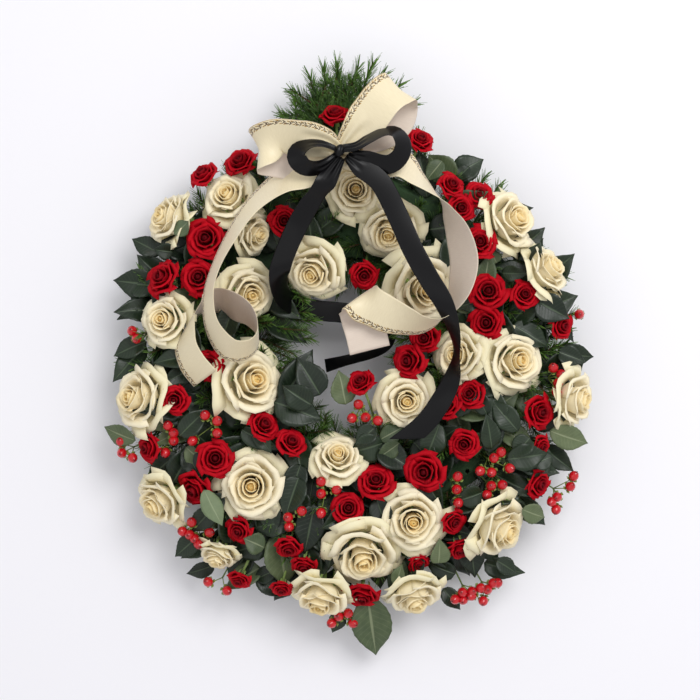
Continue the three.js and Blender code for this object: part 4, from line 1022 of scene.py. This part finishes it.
def gold_border(tree, uv, colour):
    """Prints the border over the cloth's colour and returns the printed colour."""
    parts = add_node(tree, "SeparateXYZ", links={0: uv})
    values = {"across": parts.outputs["X"], "along": parts.outputs["Y"]}
    rows = MOTIF + [row for leaf in MOTIF_LEAVES for row in leaf_rows(*leaf)]
    for name, operation, *sources in rows:
        links = {i: values.get(source, source) for i, source in enumerate(sources)}
        made = add_node(tree, "Math", {"operation": operation}, links)
        values[name] = made
    for ink, tint in INKS.items():
        printed = add_node(tree, "Mix", {"data_type": "RGBA", 7: tint},
                           {0: values[ink], 6: colour})
        colour = printed.outputs[2]
    return colour


def satin_material(name, light, shade, rough, border, sheen=0.3, ior=1.5):
    """Satin: fine threads across the width give it a soft sheen; border draws the gold scroll."""
    material, tree, shader = start_material(name, {"Roughness": rough, "IOR": ior,
                                                   "Sheen Weight": sheen, "Sheen Roughness": 0.4})
    place = add_node(tree, "UVMap", {"uv_map": "cloth"})
    # The threads are 0.1 mm apart in the real satin and drawn 0.6 mm apart, so that they show
    stretch = add_node(tree, "Mapping", {"Scale": (0.06, 1.0, 1.0)}, {"Vector": place})
    threads = add_node(tree, "TexNoise", {"Scale": 1.7, "Detail": 3.0}, {"Vector": stretch})
    tint = add_node(tree, "ValToRGB", {"stops": [(0.3, shade), (0.7, light)]}, {"Fac": threads})
    weave = add_node(tree, "Bump", {"Strength": 0.12, "Distance": 0.0002}, {"Height": threads})
    join(tree, shader, {"Normal": weave})
    colour = tint
    if border:
        colour = gold_border(tree, place, colour)
    join(tree, shader, {"Base Color": colour})
    return material


# Cream satin: soft low sheen; the back is the plain unprinted side, pinkish, drawn darker and
# greyer than the face as painted shade
cream_face = satin_material("cream_satin_printed", "#EFE2BF", "#E6D8B4", 0.42, True)
cream_back_painted_shade = satin_material("cream_satin_back_painted_shade", "#DFD0C0", "#D6C6B6", 0.5, False)
satin_piece("cream_satin_tail_left", [(CREAM_LEFT, -1)], CREAM_WIDTH, [cream_back_painted_shade, cream_face],
            "cream_tail_left")
satin_piece("cream_satin_tail_right", [(CREAM_RIGHT, 1)], CREAM_WIDTH, [cream_back_painted_shade, cream_face],
            "cream_tail_right")
satin_piece("cream_satin_bow", [(CREAM_LOOP_LEFT, 1), (CREAM_LOOP_RIGHT, -1)], CREAM_WIDTH,
            [cream_face, cream_back_painted_shade], "cream_bow")

# Black bow and tails: 25 mm black satin over the cream one, two loops, a small pleated knot in
# front of the pick, and two long tails, one cut to a point.
BLACK_WIDTH = 25
SLANT = 34.0  # the right tail's slanting cut: how much shorter its inner edge is
BLACK_LEFT = [
    (-10, 228, 178, 4, 0, .4), (-28, 200, 178, 30, 6), (-46, 176, 166, 34, 10),
    (-62, 150, 155, 30, 12), (-76, 120, 147, 26, 16), (-84, 96, 138, 34, 16),
    (-85, 80, 120, 50, 8), (-80, 66, 98, 66, 4), (-64, 56, 72, 80, 4), (-38, 51, 62, 86, 6),
    (-6, 48, 60, 90, 6), (32, 43, 60, 92, 20), (46, 30, 64, 40, 30), (44, 8, 68, 0, 50),
    (22, -3, 72, -70, 60), (-4, -10, 74, -76, 60), (-30, -17, 72, -76, 50),
]
BLACK_RIGHT = [
    (-4, 230, 178, 50, 0, .4), (14, 216, 179, 50, 0), (36, 198, 179, 38, 0), (56, 160, 174, 24, 0),
    (74, 120, 172, 26, 6), (94, 84, 173, 32, 14), (110, 58, 173, 28, 30), (122, 26, 166, 15, 60),
    (126, -4, 155, -2, 76), (121, -32, 146, -18, 40), (106, -62, 141, -30, 10),
    (86, -88, 138, -44, 0), (54, -114, 132, -54, 0),
]
BLACK_LOOP_LEFT = [
    (-12, 236, 180, 100, -40, .35), (-30, 243, 186, 105, -55, .8), (-47, 243, 187, 100, -58),
    (-60, 236, 187, 140, -35), (-62, 226, 186, 185, -22), (-53, 216, 184, 235, -40),
    (-38, 215, 182, 275, -52), (-24, 222, 180, 300, -40, .7), (-12, 234, 178, 310, -30, .35),
]
BLACK_LOOP_RIGHT = [
    (-12, 238, 181, 120, -40, .35), (6, 240, 185, 120, -60, .8), (21, 248, 188, 120, -60),
    (40, 257, 189, 120, -60), (54, 256, 188, 70, -50), (62, 243, 187, 0, -40),
    (58, 228, 184, -50, -35), (44, 219, 182, -80, -30), (23, 224, 180, -100, -35),
    (2, 231, 178, -100, -35, .5),
]
# Black satin: dark, with a long bright sheen along the folds
black_face = satin_material("black_satin", "#09080A", "#040405", 0.33, False, 0.0, 1.33)
satin_piece("black_satin_tail_left", [(BLACK_LEFT, 1)], BLACK_WIDTH, [black_face],
            "black_tail_left")
satin_piece("black_satin_tail_right", [(BLACK_RIGHT, 1)], BLACK_WIDTH, [black_face],
            "black_tail_right", SLANT)
satin_piece("black_satin_bow", [(BLACK_LOOP_LEFT, 1), (BLACK_LOOP_RIGHT, 1)], BLACK_WIDTH,
            [black_face], "black_bow")

# Knot of the black bow: the same satin wrapped once round the middle, pulled into pleats
KNOT_MIDDLE = Vector((-12, 235.5, 183))
bm = new_piece((), "cloth")
bmesh.ops.create_uvsphere(bm, u_segments=24, v_segments=16, radius=1.0)
for vert in bm.verts:
    x, y, z = vert.co
    pleat = 1 + 0.1 * math.sin(7 * math.atan2(z, x))
    place = Vector(((x + 0.25 * y) * 6.0 * pleat, y * 7.5, z * 4.6 * pleat))
    vert.co = KNOT_MIDDLE + place
bmesh.ops.recalc_face_normals(bm, faces=bm.faces)
finish_piece(bm, "black_satin_knot", [black_face])

# Table and light: a plain white sweep under the wreath, one large soft lamp from the upper right
# and a pale fill from all round.
bpy.ops.mesh.primitive_plane_add(size=12, location=(0, 0, -0.0005))
floor = bpy.context.object
floor.name = "table_top"
# Sweep paper: matt, near white with a trace of lavender
paper, _, _ = start_material("matt_white_paper", {"Roughness": 0.9, "Base Color": "#F6F5F8"})
floor.data.materials.append(paper)

world = bpy.data.worlds.new("studio")
bpy.context.scene.world = world
world.use_nodes = True
world.node_tree.nodes.clear()
fill = add_node(world.node_tree, "Background", {"Color": "#FAFAFE", "Strength": 0.7})
add_node(world.node_tree, "OutputWorld", links={"Surface": fill})


def soft_lamp(name, place, size, watts):
    """A square lamp of a size in metres that looks at the wreath."""
    lamp = bpy.data.lights.new(name, "AREA")
    lamp.size = size
    lamp.energy = watts
    holder = bpy.data.objects.new(name, lamp)
    holder.location = place
    aim = Vector((0, 0, 0.1)) - Vector(place)
    holder.rotation_euler = aim.to_track_quat("-Z", "Y").to_euler()
    bpy.context.collection.objects.link(holder)


soft_lamp("key_lamp", (0.8, 1.0, 2.2), 1.3, 31)
soft_lamp("fill_lamp", (-1.4, -0.6, 2.4), 1.6, 3)

# The photograph's plain tone curve, so that each colour shows as it was picked
bpy.context.scene.view_settings.view_transform = "Standard"

# Camera straight above, 2.5 m up, with a long lens, as in the photograph
lens = bpy.data.cameras.new("camera")
lens.lens = 102
lens.sensor_width = 36
camera = bpy.data.objects.new("camera", lens)
camera.location = (RING_MIDDLE.x, RING_MIDDLE.y + 0.0024, 2.5)
bpy.context.collection.objects.link(camera)
bpy.context.scene.camera = camera
